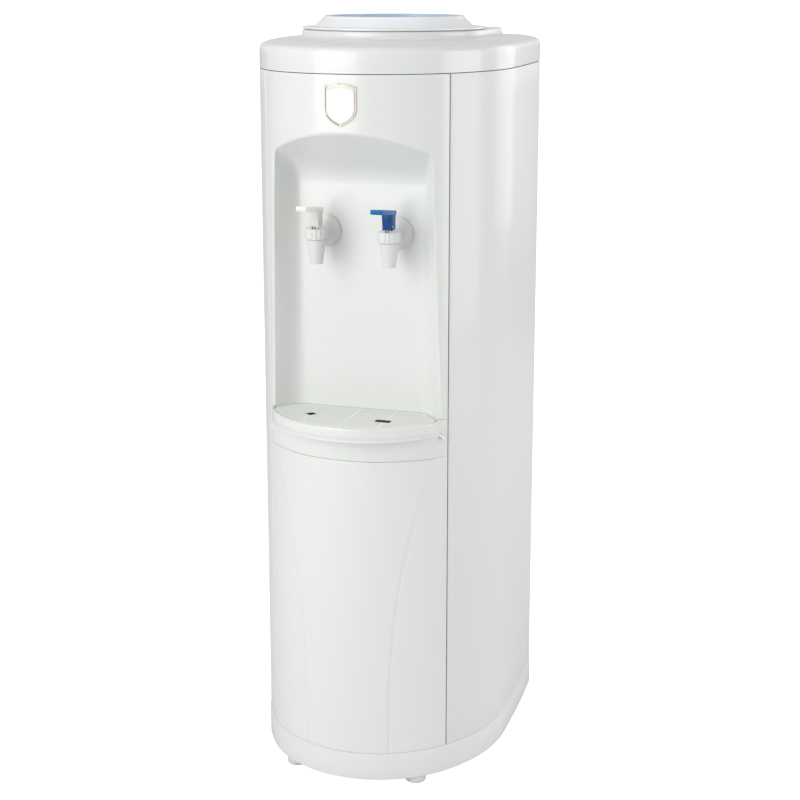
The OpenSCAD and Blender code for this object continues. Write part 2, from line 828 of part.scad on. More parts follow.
module base_plinth() {
    color(white) difference() {
        union() {
            translate([0, 0, foot_h]) linear_extrude(plinth_top - foot_h)
                outline(-plinth_step, rear_y);
            translate([0, 0, foot_h]) linear_extrude(plinth_top - foot_h) intersection() {
                translate([0, front_cy]) circle(front_r + plinth_step + ridge_h);
                translate([-ridge_x(0), -2 * rear_y]) square([2 * ridge_x(0), 2 * rear_y + front_cy]);
            }
        }
        translate([0, 0, foot_h + floor_t]) linear_extrude(plinth_top)
            outline(shell_t + 1, rear_y - shell_t);
        for (p = foot_spots) translate([p[0], p[1], foot_h - 1]) cylinder(r = 4, h = floor_t + 2);
    }
    color(white) skirt(shell_t + fit, 2 * shell_t + fit, plinth_top - 12, plinth_top + 8);
    color(white) for (p = bolt_spots) translate([p[0], p[1], foot_h + floor_t]) difference() {
        cylinder(r = 12, h = plate_low - foot_h - floor_t);
        cylinder(r = 5, h = 20);
    }
}

module base_plate() {
    color("silver") difference() {
        translate([compressor_x - base_plate_w / 2, compressor_y - base_plate_d / 2, plate_low])
            cube([base_plate_w, base_plate_d, base_plate_t]);
        for (p = bolt_spots) translate([p[0], p[1], plate_low - 1]) cylinder(r = bolt_hole_r, h = 10);
    }
}

module feet() {
    color([0.85, 0.85, 0.84]) for (p = foot_spots) translate([p[0], p[1], 0]) {
        cylinder(r = foot_d / 2, h = foot_h);
        translate([0, 0, foot_h - 1]) cylinder(r = 3.7, h = floor_t + 3);
    }
}

// Taps, drawn with the spout's axis at the origin and the shank's axis at z = 0, wall towards +Y

module at_tap(s) {
    translate([s * tap_x, tap_y, tap_z]) children();
}

module tap_body() {
    color("white") difference() {
        union() {
            translate([0, 0, -spout_drop]) cylinder(r1 = 7.8, r2 = 12, h = spout_drop + collar_low - 0.4);
            translate([0, 0, collar_low - 1]) cylinder(r = chamber_r + 2.2, h = 10.5);
            translate([0, 5, arm_z]) rotate([-90, 0, 0]) cylinder(r = 7, h = 12);
            hull() {
                translate([0, 16.5, arm_z]) rotate([-90, 0, 0]) cylinder(r = 7, h = tiny, $fn = 32);
                translate([0, tap_out - 5, -2]) rotate([-90, 0, 0]) cylinder(r = 15, h = tiny, $fn = 32);
                translate([0, tap_out - 2.6, 0]) rotate([-90, 0, 0])
                    cylinder(r = bell_r, h = tiny, $fn = 48);
            }
            translate([0, tap_out - 2.6, 0]) rotate([-90, 0, 0]) cylinder(r = bell_r, h = 1.6);
            translate([0, tap_out - 1.1, 0]) rotate([-90, 0, 0]) cylinder(r = shank_r, h = 14);
            translate([0, tap_out + 12, 0]) rotate([-90, 0, 0]) cylinder(r = 5, h = 9);
        }
        difference() {
            translate([0, 0, collar_low - fit]) cylinder(r = collar_r + fit, h = 20);
            translate([0, 0, collar_low - 1]) cylinder(r = chamber_r + 2.2, h = 10.5);
        }
        translate([0, 0, seat_z]) cylinder(r = chamber_r, h = 30);
        translate([0, 0, seat_z - 4]) cylinder(r = 4, h = 6);
        translate([0, 0, -spout_drop - 1]) cylinder(r = spout_bore_r, h = spout_drop + seat_z - 2);
        translate([0, 4, arm_z]) rotate([-90, 0, 0]) cylinder(r = 3.2, h = tap_out - 8);
        translate([0, tap_out - 6.5, arm_z]) cylinder(r = 3.2, h = -arm_z);
        translate([0, tap_out - 6.5, 0]) rotate([-90, 0, 0]) cylinder(r = 3.5, h = 40);
    }
}

module tap_collar() {
    ear_x = 3.6;
    ear_t = 1.2;
    ear_r = 3;
    lean = 19.2;
    ear_foot = (pin_z - collar_top + 1) * tan(lean) - ear_r / cos(lean);
    ribs = 16;
    inner = chamber_r + 2.2 + fit;
    color("white") difference() {
        union() {
            translate([0, 0, collar_low]) cylinder(r = collar_r - 0.7, h = collar_top - collar_low);
            for (k = [0 : ribs - 1]) rotate([0, 0, 360 * k / ribs])
                translate([collar_r - 2, -1.2, collar_low + 1])
                    cube([2, 2.4, collar_top - collar_low - 2.5]);
            for (s = [-1, 1]) translate([s * ear_x - ear_t / 2, pin_y, 0]) {
                rotate([90, 0, 90]) linear_extrude(ear_t) polygon([
                    [ear_foot, collar_top - 1], [ear_foot + 4, collar_top - 1], [ear_r, pin_z],
                    [-ear_r * cos(lean), pin_z - ear_r * sin(lean)]
                ]);
                translate([0, 0, pin_z]) rotate([0, 90, 0]) cylinder(r = ear_r, h = ear_t);
            }
        }
        translate([0, 0, collar_low - 1]) cylinder(r = inner, h = collar_top - collar_low - 2);
        translate([0, 0, -20]) cylinder(r = stem_r + run_gap, h = 40);
        translate([-10, pin_y, pin_z]) rotate([0, 90, 0]) cylinder(r = pin_r + run_gap, h = 20);
    }
}

module tap_lever(tint) {
    cheek_x = 4.5;
    cheek_t = 1.5;
    paddle_t = 6;
    paddle_rise = 8;
    post_low = pin_z - 5;
    post_top = pin_z + 12;
    paddle_top = post_top + paddle_rise + paddle_t;
    post_front = pin_y - 5.5;
    post_rear = 7.5;
    side = [
        [post_front + 1, post_low], [post_rear - 2, post_low], [post_rear, pin_z + 2],
        [post_rear, post_top + 3], [post_front, post_top + 5], [post_front, pin_z + 2]
    ];
    color(tint) difference() {
        union() {
            translate([-cheek_x - cheek_t, 0, 0]) rotate([90, 0, 90]) linear_extrude(2 * (cheek_x + cheek_t))
                polygon(side);
            translate([-paddle_w / 2, 0, 0]) rotate([90, 0, 90]) linear_extrude(paddle_w) polygon([
                [-paddle_len, paddle_top - paddle_t + 1], [-paddle_len + 1, paddle_top - paddle_t],
                [post_rear, post_top], [post_rear, post_top + paddle_t],
                [-paddle_len + 1, paddle_top], [-paddle_len, paddle_top - 1]
            ]);
        }
        translate([-cheek_x, 0, 0]) rotate([90, 0, 90]) linear_extrude(2 * cheek_x) polygon([
            [post_front + 1.8, post_low - 1], [post_rear + 5, post_low - 1], [post_rear + 5, post_top - 0.6],
            [post_front + 1.8, post_top - 0.6]
        ]);
        translate([-10, pin_y, pin_z]) rotate([0, 90, 0]) cylinder(r = pin_r, h = 20);
    }
    color(tint) for (s = [-1, 1]) translate([s * 3.6 - 1, pin_y + 1.5, pin_z + 3.6]) cube([2, 7.5, 1.4]);
}

module tap_pin() {
    color("silver") translate([-6.2, pin_y, pin_z]) rotate([0, 90, 0]) cylinder(r = pin_r, h = 12.4);
}

module tap_stem() {
    color("lightgrey") union() {
        translate([0, 0, seat_z + run_gap]) cylinder(r = 6.4, h = 4);
        translate([0, 0, seat_z + 3]) cylinder(r = stem_r, h = head_low - seat_z);
        translate([0, 0, head_low]) cylinder(r = 4, h = 1.6);
    }
}

module tap_spring() {
    coil = 4.2;
    turns = 5;
    steps = 12;
    path = [for (k = [0 : turns * steps])
        [coil * cos(360 * k / steps), coil * sin(360 * k / steps),
         spring_low + (spring_high - spring_low) * k / (turns * steps)]];
    color("silver") tube(path, 0.4, 6);
}

module tap_gasket() {
    color("grey") translate([0, tap_out - 1 + tiny, 0]) rotate([-90, 0, 0]) difference() {
        cylinder(r = bell_r - 2, h = 1 - 2 * tiny);
        translate([0, 0, -1]) cylinder(r = shank_r + fit, h = 4);
    }
}

module tap_nut() {
    color("lightgrey") translate([0, tap_out + shell_t + tiny, 0]) rotate([-90, 0, 0]) difference() {
        cylinder(r = 14, h = 6, $fn = 6);
        translate([0, 0, -1]) cylinder(r = shank_r + run_gap, h = 8);
    }
}

module tap_hose() {
    start = tap_out + 13.2;
    color([0.9, 0.9, 0.88]) translate([0, start, 0]) rotate([-90, 0, 0]) difference() {
        cylinder(r = hose_r, h = stub_front + 8 - tap_y - start);
        translate([0, 0, -1]) cylinder(r = stub_r + run_gap, h = 60);
    }
}

module room_tap_body() {
    at_tap(-1) tap_body();
}

module room_tap_collar() {
    at_tap(-1) tap_collar();
}

module room_tap_lever() {
    at_tap(-1) tap_lever([0.93, 0.92, 0.88]);
}

module room_tap_pin() {
    at_tap(-1) tap_pin();
}

module room_tap_stem() {
    at_tap(-1) tap_stem();
}

module room_tap_spring() {
    at_tap(-1) tap_spring();
}

module room_tap_gasket() {
    at_tap(-1) tap_gasket();
}

module room_tap_nut() {
    at_tap(-1) tap_nut();
}

module room_tap_hose() {
    at_tap(-1) tap_hose();
}

module cold_tap_body() {
    at_tap(1) tap_body();
}

module cold_tap_collar() {
    at_tap(1) tap_collar();
}

module cold_tap_lever() {
    at_tap(1) tap_lever([0.0, 0.4, 0.72]);
}

module cold_tap_pin() {
    at_tap(1) tap_pin();
}

module cold_tap_stem() {
    at_tap(1) tap_stem();
}

module cold_tap_spring() {
    at_tap(1) tap_spring();
}

module cold_tap_gasket() {
    at_tap(1) tap_gasket();
}

module cold_tap_nut() {
    at_tap(1) tap_nut();
}

module cold_tap_hose() {
    at_tap(1) tap_hose();
}

// Tank and cooling circuit

module cold_tank() {
    color("silver") difference() {
        union() {
            translate([0, receptacle_y, tank_low]) cylinder(r = tank_r, h = tank_h + tank_t);
            for (s = [-1, 1]) translate([s * tap_x, stub_front, tap_z]) rotate([-90, 0, 0])
                cylinder(r = stub_r, h = stub_end + 4 - stub_front);
            translate([drain_x, receptacle_y, drain_top]) cylinder(r = drain_bore_r, h = 14);
        }
        difference() {
            translate([0, receptacle_y, tank_low + tank_t])
                cylinder(r = tank_r - tank_t, h = tank_h - tank_t);
            for (s = [-1, 1]) translate([s * tap_x, stub_front, tap_z]) rotate([-90, 0, 0])
                cylinder(r = stub_r, h = stub_end - stub_front);
        }
        translate([0, receptacle_y, tank_top - 1]) cylinder(r = outlet_r + fit, h = 4);
        for (s = [-1, 1]) translate([s * tap_x, stub_front - 1, tap_z]) rotate([-90, 0, 0])
            cylinder(r = stub_r - 1.2, h = stub_end + 14 - stub_front);
        translate([drain_x, receptacle_y, drain_top - 1]) cylinder(r = drain_bore_r - 1, h = 20);
    }
}

module insulation() {
    color([0.95, 0.95, 0.95]) difference() {
        translate([0, receptacle_y, insulation_low])
            cylinder(r = insulation_r, h = tank_top - 6 - insulation_low);
        translate([0, receptacle_y, coil_low - 8]) cylinder(r = cavity_r, h = tank_h);
        translate([0, receptacle_y, tank_low - fit]) cylinder(r = tank_r + fit, h = tank_h);
        for (s = [-1, 1]) translate([s * tap_x, back_wall_y, tap_z]) rotate([-90, 0, 0])
            cylinder(r = hose_r + 1, h = stub_end + 2 - back_wall_y);
        for (p = [[line_x, coil_low], [-line_x, coil_high]]) translate([p[0], 0, p[1]]) rotate([-90, 0, 0])
            cylinder(r = evaporator_r + 2, h = rear_y);
        translate([drain_x, receptacle_y, insulation_low - 1]) cylinder(r = drain_bore_r + 3.3, h = 40);
    }
}

module insulation_front() {
    intersection() {
        insulation();
        translate([-half_w, -rear_y, 0]) cube([cab_w, rear_y + receptacle_y - fit / 2, panel_top]);
    }
}

module insulation_rear() {
    intersection() {
        insulation();
        translate([-half_w, receptacle_y + fit / 2, 0]) cube([cab_w, rear_y, panel_top]);
    }
}

module baffle() {
    riser = [-42, -42];
    color("white") translate([0, receptacle_y, 0]) difference() {
        union() {
            translate([0, 0, baffle_z]) cylinder(r = tank_r - tank_t - fit, h = 2);
            translate([riser[0], riser[1], tap_z + 8]) cylinder(r = 5, h = baffle_z - tap_z - 7);
            for (k = [0 : 2]) rotate([0, 0, 120 * k + 60])
                translate([tank_r - 12, 0, tank_low + tank_t + fit])
                    cylinder(r = 3, h = baffle_z - tank_low - tank_t);
        }
        translate([riser[0], riser[1], tap_z]) cylinder(r = 3.5, h = baffle_z - tap_z + 3);
        for (k = [0 : 5]) rotate([0, 0, 60 * k + 20]) translate([35, 0, baffle_z - 1])
            cylinder(r = 4, h = 5);
    }
}

module evaporator_coil() {
    total = coil_steps * evaporator_turns;
    helix = [for (k = [0 : total]) let (a = 90 + 360 * k / coil_steps)
        [coil_r * cos(a), receptacle_y + coil_r * sin(a), coil_low + (coil_high - coil_low) * k / total]];
    color("peru") tube(helix, evaporator_r, 8);
}

module tank_deck() {
    lip = 14;
    color("silver") difference() {
        union() {
            translate([0, 0, deck_top - deck_t]) linear_extrude(deck_t) deck_plan(0);
            translate([0, 0, deck_top - lip]) linear_extrude(lip) difference() {
                deck_plan(0);
                deck_plan(deck_t);
                translate([-half_w + 30, -rear_y]) square([cab_w - 60, cab_d]);
            }
        }
        translate([drain_x, receptacle_y, deck_top - 20]) cylinder(r = drain_bore_r + 4, h = 40);
    }
}

module deck_plan(t) {
    intersection() {
        outline(steel_t + fit + t, rear_y - 20);
        translate([-half_w, -94]) square([cab_w, 94 + 112]);
    }
}

module compressor() {
    r = compressor_r;
    h = compressor_h;
    color([0.12, 0.12, 0.13]) {
        translate([compressor_x, compressor_y, can_low]) rotate_extrude() polygon([
            [0, 0], [r * 0.7, 0], [r * 0.9, 5], [r - 1, 14], [r - 1, h * 0.55], [r + 1.5, h * 0.55],
            [r + 1.5, h * 0.55 + 4], [r - 1, h * 0.55 + 4], [r - 1, h * 0.78], [r * 0.9, h * 0.9],
            [r * 0.7, h * 0.96], [r * 0.35, h], [0, h]
        ]);
        difference() {
            translate([compressor_x - 90, compressor_y - 62, plate_top + grommet_h])
                cube([180, 124, 3 + tiny]);
            for (p = bolt_spots) translate([p[0], p[1], plate_top]) cylinder(r = 6, h = 40);
            for (s = [-1, 1]) translate([compressor_x - 28, compressor_y + s * 62 - 20, plate_top])
                cube([56, 40, 60]);
        }
        translate([compressor_x + r - 12, compressor_y - 22 + fit, can_low + 54 + fit])
            cube([16.5, 44 - 2 * fit, 58 - 2 * fit]);
        translate([compressor_x - 34, compressor_y + 6, can_low + h * 0.8])
            cylinder(r = 4.5, h = h * 0.2 + 14);
        translate([compressor_x + 32, compressor_y + 12, can_low + h * 0.8])
            cylinder(r = 3.5, h = h * 0.2 + 14);
    }
}

module relay_cover() {
    inner_x = compressor_x + compressor_r + 1.5 + fit;
    color([0.1, 0.1, 0.1]) difference() {
        translate([inner_x, compressor_y - 24, can_low + 52]) cube([30, 48, 62]);
        translate([inner_x - 1, compressor_y - 22, can_low + 54]) cube([29, 44, 58]);
        translate([inner_x + 20, compressor_y, can_low + 40]) cylinder(r = 4, h = 20);
    }
}

module compressor_grommets() {
    color([0.15, 0.15, 0.15]) for (p = bolt_spots) translate([p[0], p[1], plate_top]) difference() {
        union() {
            cylinder(r = 10, h = grommet_h);
            translate([0, 0, grommet_h - 1]) cylinder(r = 5.8, h = 5);
            translate([0, 0, grommet_h + 3 + 2 * tiny]) cylinder(r = 9, h = 3);
        }
        translate([0, 0, -1]) cylinder(r = bolt_hole_r, h = grommet_h + 20);
    }
}

module compressor_bolts() {
    color("silver") for (p = bolt_spots) translate([p[0], p[1], 0]) {
        translate([0, 0, plate_low - 3]) cylinder(r = bolt_r, h = base_plate_t + grommet_h + 14);
        translate([0, 0, plate_low - 3.6]) cylinder(r = 4.6, h = 3.6 - tiny);
        translate([0, 0, plate_top + grommet_h + 6 + 4 * tiny]) cylinder(r = 7.5, h = 1.5);
        translate([0, 0, plate_top + grommet_h + 7.5]) cylinder(r = 5.5, h = 4, $fn = 6);
    }
}

module condenser() {
    bend_r = condenser_pitch / 2;
    half = condenser_w / 2;
    color([0.1, 0.1, 0.1]) translate([0, condenser_y, 0]) {
        for (i = [0 : condenser_rows - 1]) translate([-half, 0, condenser_low + i * condenser_pitch])
            rotate([0, 90, 0]) cylinder(r = condenser_tube_r, h = condenser_w);
        for (i = [0 : condenser_rows - 2]) {
            s = i % 2 == 0 ? -1 : 1;
            translate([s * half, 0, condenser_low + (i + 0.5) * condenser_pitch])
                rotate([90, 0, 0]) rotate([0, 0, s > 0 ? -90 : 90]) rotate_extrude(angle = 180)
                    translate([bend_r, 0]) circle(condenser_tube_r, $fn = 32);
        }
        for (f = [-1, 1]) for (k = [0 : wire_count - 1])
            translate([-half + 12 + (condenser_w - 24) * k / (wire_count - 1),
                       f * (condenser_tube_r + wire_r + run_gap), condenser_low - 14])
                cylinder(r = wire_r, h = condenser_high - condenser_low + 28, $fn = 16);
    }
}

module condenser_brackets() {
    front = rear_y + run_gap;
    color([0.1, 0.1, 0.1]) for (s = [-1, 1]) for (z = bracket_zs) translate([s * bracket_x, front, z])
        difference() {
            union() {
                translate([-8, 0, -9]) cube([16, 1.2, 18]);
                translate([-8, 0, -condenser_pitch / 2 + condenser_tube_r + run_gap])
                    cube([1.5, condenser_y - front + 1, condenser_pitch - 2 * (condenser_tube_r + run_gap)]);
            }
            rotate([-90, 0, 0]) cylinder(r = screw_r + 0.2, h = 10, center = true, $fn = 32);
        }
}

module filter_drier() {
    color("peru") translate([drier_x, drier_y, drier_low]) rotate_extrude() polygon([
        [0, 0], [2.6, 0], [2.6, 8], [9, 16], [9, drier_h - 16], [2.6, drier_h - 8],
        [2.6, drier_h], [0, drier_h]
    ]);
}

module refrigerant_lines() {
    half = condenser_w / 2;
    out_x = half + condenser_pitch / 2 + condenser_tube_r + line_r + 2;
    coil_y = receptacle_y + coil_r;
    can_top = can_low + compressor_h + 14 + run_gap;
    discharge = [
        [compressor_x + 32, compressor_y + 12, can_top],
        [compressor_x + 32, compressor_y + 12, can_top + 22],
        [out_x, condenser_y, can_top + 22], [out_x, condenser_y, condenser_high],
        [half + run_gap, condenser_y, condenser_high]
    ];
    suction = [
        [-joint_gap, coil_y, coil_high], [-line_x, coil_y, coil_high], [-line_x, rear_y - 62, coil_high],
        [-line_x, rear_y - 62, can_top + 60], [compressor_x - 34, compressor_y + 6, can_top + 40],
        [compressor_x - 34, compressor_y + 6, can_top]
    ];
    capillary = [
        [joint_gap, coil_y, coil_low], [line_x, coil_y, coil_low], [line_x, rear_y - 62, coil_low],
        [drier_x, rear_y - 62, coil_low],
        [drier_x, drier_y, coil_low - 30], [drier_x, drier_y, drier_low + drier_h + run_gap]
    ];
    liquid = [
        [half + run_gap, condenser_y, condenser_low], [out_x - 10, condenser_y, condenser_low],
        [out_x - 10, condenser_y, drier_low - 20], [drier_x, drier_y, drier_low - 24],
        [drier_x, drier_y, drier_low - run_gap]
    ];
    color("peru") {
        tube(eased(discharge, 10), line_r);
        tube(eased(suction, 6), evaporator_r);
        tube(eased(capillary, 6), 1.2, 6);
        tube(eased(liquid, 8), 2);
    }
}

module drain_tube() {
    outer = drain_bore_r + 2;
    end_y = rear_y + 12;
    color([0.9, 0.9, 0.88]) difference() {
        union() {
            translate([drain_x, receptacle_y, drain_z - outer])
                cylinder(r = outer, h = drain_top + 10 - drain_z + outer);
            translate([drain_x, receptacle_y, drain_z]) rotate([-90, 0, 0])
                cylinder(r = outer, h = end_y - receptacle_y);
            translate([drain_x, rear_y + run_gap, drain_z]) rotate([-90, 0, 0])
                cylinder(r = outer + 3, h = 2);
        }
        translate([drain_x, receptacle_y, drain_z - drain_bore_r])
            cylinder(r = drain_bore_r + run_gap, h = drain_top);
        translate([drain_x, receptacle_y, drain_z]) rotate([-90, 0, 0])
            cylinder(r = drain_bore_r, h = cab_d);
    }
}

module drain_cap() {
    outer = drain_bore_r + 2;
    end_y = rear_y + 12;
    color(white) translate([drain_x, rear_y + 3, drain_z]) rotate([-90, 0, 0]) difference() {
        union() {
            cylinder(r = outer + 3, h = 12);
            for (k = [0 : 11]) rotate([0, 0, 30 * k]) translate([outer + 2, -1, 1]) cube([2, 2, 10]);
        }
        translate([0, 0, -1]) cylinder(r = outer + fit, h = end_y - rear_y - 2 + fit);
    }
}

// Controls on the rear panel

module thermostat() {
    color([0.2, 0.2, 0.2]) difference() {
        union() {
            translate([knob_x - 22, rear_y - 34, control_z - 18]) cube([44, 34 - steel_t - run_gap, 36]);
            translate([knob_x, rear_y - 4, control_z]) rotate([-90, 0, 0]) cylinder(r = 4.2, h = 4);
        }
        translate([knob_x, rear_y - 24, control_z]) rotate([-90, 0, 0]) cylinder(r = 3 + run_gap, h = 40);
    }
}

module thermostat_knob() {
    color([0.15, 0.15, 0.15]) translate([knob_x, 0, control_z]) {
        translate([0, rear_y - 22, 0]) rotate([-90, 0, 0]) cylinder(r = 3, h = 24);
        difference() {
            translate([0, rear_y + 0.8, 0]) rotate([-90, 0, 0]) cylinder(r1 = 15, r2 = 13.5, h = 13);
            for (s = [-1, 1]) translate([s * 10 - 6, rear_y + 5, -20]) cube([12, 20, 40]);
        }
        translate([0, rear_y + 0.8, 0]) rotate([-90, 0, 0]) cylinder(r = 13.5, h = 4.2);
        translate([-1, rear_y + 13.8, 4]) cube([2, 0.6, 8]);
    }
}

module power_switch() {
    color([0.1, 0.1, 0.1]) difference() {
        union() {
            translate([switch_x - 11, rear_y - 22, control_z - 14]) cube([22, 22, 28]);
            translate([switch_x - 14, rear_y + run_gap, control_z - 17]) cube([28, 3, 34]);
            translate([switch_x - 11, rear_y - 2, control_z - 14]) cube([22, 3, 28]);
        }
        translate([switch_x - 8.4, rear_y - 12, control_z - 11.6]) cube([16.8, 30, 23.2]);
        translate([switch_x - 30, rocker_y - 4, control_z]) rotate([0, 90, 0])
            cylinder(r = 1.5 + run_gap, h = 60);
    }
}

module switch_rocker() {
    color([0.15, 0.15, 0.15]) intersection() {
        union() {
            translate([switch_x - 8, rocker_y - 4, control_z]) rotate([90, 0, 90])
                linear_extrude(16) polygon([
                    [0.5, -10.6], [4.4, -10.2], [5.6, 9.6], [2.5, 10], [-6, 4], [-6, -4]
                ]);
            translate([switch_x - 10.6, rocker_y - 4, control_z]) rotate([0, 90, 0])
                cylinder(r = 1.5, h = 21.2);
        }
        translate([switch_x - 20, rear_y - 20, control_z - 30]) cube([40, 60, 60]);
    }
}

module cord_gland() {
    color([0.12, 0.12, 0.12]) translate([gland_x, 0, control_z]) difference() {
        union() {
            translate([0, rear_y - 12, 0]) rotate([-90, 0, 0]) cylinder(r = gland_bore_r + 3, h = 26);
            translate([0, rear_y + run_gap, 0]) rotate([-90, 0, 0]) cylinder(r = gland_bore_r + 6, h = 4);
            translate([0, rear_y - steel_t - 4, 0]) rotate([-90, 0, 0])
                cylinder(r = gland_bore_r + 5.5, h = 4 - run_gap, $fn = 6);
        }
        translate([0, rear_y - 20, 0]) rotate([-90, 0, 0]) cylinder(r = gland_bore_r, h = 60);
    }
}

top_cover();
bottle_receptacle();
feed_probe();
receptacle_seal();
upper_front_panel();
shelf_housing();
lower_front_panel();
left_side_panel();
right_side_panel();
rear_panel();
base_plinth();
base_plate();
feet();
drip_tray();
drip_grille();
badge_plate();
badge_rim();
room_tap_body();
room_tap_collar();
room_tap_lever();
room_tap_pin();
room_tap_stem();
room_tap_spring();
room_tap_gasket();
room_tap_nut();
room_tap_hose();
cold_tap_body();
cold_tap_collar();
cold_tap_lever();
cold_tap_pin();
cold_tap_stem();
cold_tap_spring();
cold_tap_gasket();
cold_tap_nut();
cold_tap_hose();
cold_tank();
insulation_front();
insulation_rear();
baffle();
evaporator_coil();
tank_deck();
compressor();
relay_cover();
compressor_grommets();
compressor_bolts();
condenser();
condenser_brackets();
filter_drier();
refrigerant_lines();
drain_tube();
drain_cap();
thermostat();
thermostat_knob();
power_switch();
switch_rocker();
cord_gland();
rear_screws();
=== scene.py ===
import math

import bmesh
import bpy
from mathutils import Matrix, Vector


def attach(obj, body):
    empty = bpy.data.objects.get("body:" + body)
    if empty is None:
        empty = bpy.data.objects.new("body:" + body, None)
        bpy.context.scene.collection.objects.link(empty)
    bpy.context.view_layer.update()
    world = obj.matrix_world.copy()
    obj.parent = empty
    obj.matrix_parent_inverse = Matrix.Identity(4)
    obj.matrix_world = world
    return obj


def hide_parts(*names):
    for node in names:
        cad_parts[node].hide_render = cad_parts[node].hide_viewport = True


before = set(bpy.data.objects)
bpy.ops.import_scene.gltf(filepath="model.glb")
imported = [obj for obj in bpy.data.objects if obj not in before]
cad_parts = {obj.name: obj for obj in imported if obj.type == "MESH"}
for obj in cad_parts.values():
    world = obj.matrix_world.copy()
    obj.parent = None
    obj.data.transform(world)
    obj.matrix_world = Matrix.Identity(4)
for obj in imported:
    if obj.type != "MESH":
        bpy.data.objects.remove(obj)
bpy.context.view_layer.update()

# Viewpoint, floor and light
# A standing viewer's eye in front and a little to the right looks down on the cooler. The floor
# is a plain white plane. Soft boxes light it from the left front, the right, above and behind.

SENSOR_MM, LENS_MM, LENS_SHIFT, FAR_CLIP = 36, 75.42, -0.06, 200
EYE = (0.674, -2.048, 1.023)
EYE_DOWN, EYE_TURN = 12.84, 17.84
FILL_STRENGTH, MIRRORED_WHITE = 0.46, 0.5
FLOOR_HALF, FLOOR_TONE, FLOOR_GLOW = 60, 0.82, 0.82

camera = bpy.data.cameras.new("viewpoint")
camera.sensor_width = SENSOR_MM
camera.lens = LENS_MM
camera.shift_y = LENS_SHIFT
camera.clip_end = FAR_CLIP
viewer = bpy.data.objects.new("viewpoint", camera)
viewer.location = EYE
viewer.rotation_euler = (math.radians(90 - EYE_DOWN), 0, math.radians(EYE_TURN))
bpy.context.scene.collection.objects.link(viewer)
bpy.context.scene.camera = viewer
bpy.context.scene.view_settings.view_transform = "Standard"


def soft_box(name, azimuth, elevation, distance, width, height, watts, target=(0, 0, 0.55)):
    """A rectangular lamp round the object, azimuth counted from the front towards the right."""
    lamp = bpy.data.lights.new(name, "AREA")
    lamp.shape = "RECTANGLE"
    lamp.size = width
    lamp.size_y = height
    lamp.energy = watts
    a = math.radians(azimuth)
    e = math.radians(elevation)
    place = Vector((math.sin(a) * math.cos(e), -math.cos(a) * math.cos(e), math.sin(e))) * distance
    piece = bpy.data.objects.new(name, lamp)
    piece.location = place + Vector(target)
    piece.rotation_euler = (-place).to_track_quat("-Z", "Y").to_euler()
    bpy.context.scene.collection.objects.link(piece)


soft_box("key_box", -24, 12.5, 2.6, 2.0, 1.5, 29)
soft_box("high_box", -30, 36, 2.6, 1.0, 1.0, 9)
soft_box("right_box", 97, 8, 2.4, 1.5, 1.6, 20)
soft_box("top_box", 0, 80, 2.2, 1.8, 1.8, 4)
soft_box("rear_box", 148, 12, 2.6, 1.4, 1.6, 9)


def shader_of(material):
    """The main shader of a material."""
    return material.node_tree.nodes["Principled BSDF"]


def math_node(tree, operation, *inputs):
    """The output of a maths node whose inputs are numbers or other nodes' outputs."""
    node = tree.nodes.new("ShaderNodeMath")
    node.operation = operation
    for k, value in enumerate(inputs):
        if isinstance(value, float):
            node.inputs[k].default_value = value
        else:
            tree.links.new(value, node.inputs[k])
    return node.outputs[0]


def background(tree, strength, colour):
    """The output of an even background light."""
    node = tree.nodes.new("ShaderNodeBackground")
    node.inputs["Strength"].default_value = strength
    node.inputs["Color"].default_value = (*colour, 1)
    return node.outputs[0]


# White where the camera looks, also through clear plastic, half white in mirror images, and a
# weaker, slightly cool fill for everything else
world = bpy.data.worlds.new("studio")
bpy.context.scene.world = world
world.use_nodes = True
sky = world.node_tree
sky.nodes.clear()
sky_out = sky.nodes.new("ShaderNodeOutputWorld")
choose = sky.nodes.new("ShaderNodeMixShader")
rays = sky.nodes.new("ShaderNodeLightPath").outputs
direct = math_node(sky, "MAXIMUM", rays["Is Camera Ray"], rays["Is Transmission Ray"])
mirrored = math_node(sky, "MULTIPLY", rays["Is Glossy Ray"], MIRRORED_WHITE)
sky.links.new(math_node(sky, "MAXIMUM", direct, mirrored), choose.inputs[0])
sky.links.new(background(sky, FILL_STRENGTH, (0.97, 0.985, 1)), choose.inputs[1])
sky.links.new(background(sky, 1.0, (1, 1, 1)), choose.inputs[2])
sky.links.new(choose.outputs[0], sky_out.inputs[0])

ground = bmesh.new()
bmesh.ops.create_grid(ground, x_segments=2, y_segments=2, size=FLOOR_HALF)
ground_mesh = bpy.data.meshes.new("floor")
ground.to_mesh(ground_mesh)
floor = bpy.data.objects.new("floor", ground_mesh)
bpy.context.scene.collection.objects.link(floor)
floor_paint = bpy.data.materials.new("floor_white")
floor_paint.use_nodes = True
floor_tree = floor_paint.node_tree
floor_shader = shader_of(floor_paint)
floor_shader.inputs["Base Color"].default_value = (FLOOR_TONE, FLOOR_TONE, FLOOR_TONE, 1)
floor_shader.inputs["Roughness"].default_value = 0.9
floor_shader.inputs["Specular IOR Level"].default_value = 0.1
floor_shader.inputs["Emission Color"].default_value = (1, 1, 1, 1)
floor_seen = floor_tree.nodes.new("ShaderNodeLightPath").outputs["Is Camera Ray"]
floor_tree.links.new(math_node(floor_tree, "MULTIPLY", floor_seen, FLOOR_GLOW),
                     floor_shader.inputs["Emission Strength"])
floor.data.materials.append(floor_paint)

# Base plinth
# One moulding of satin white ABS round the foot of the cabinet, 1 mm proud of the panels. Its
# raised middle carries on the two curved edges of the front. It stands on the four feet.

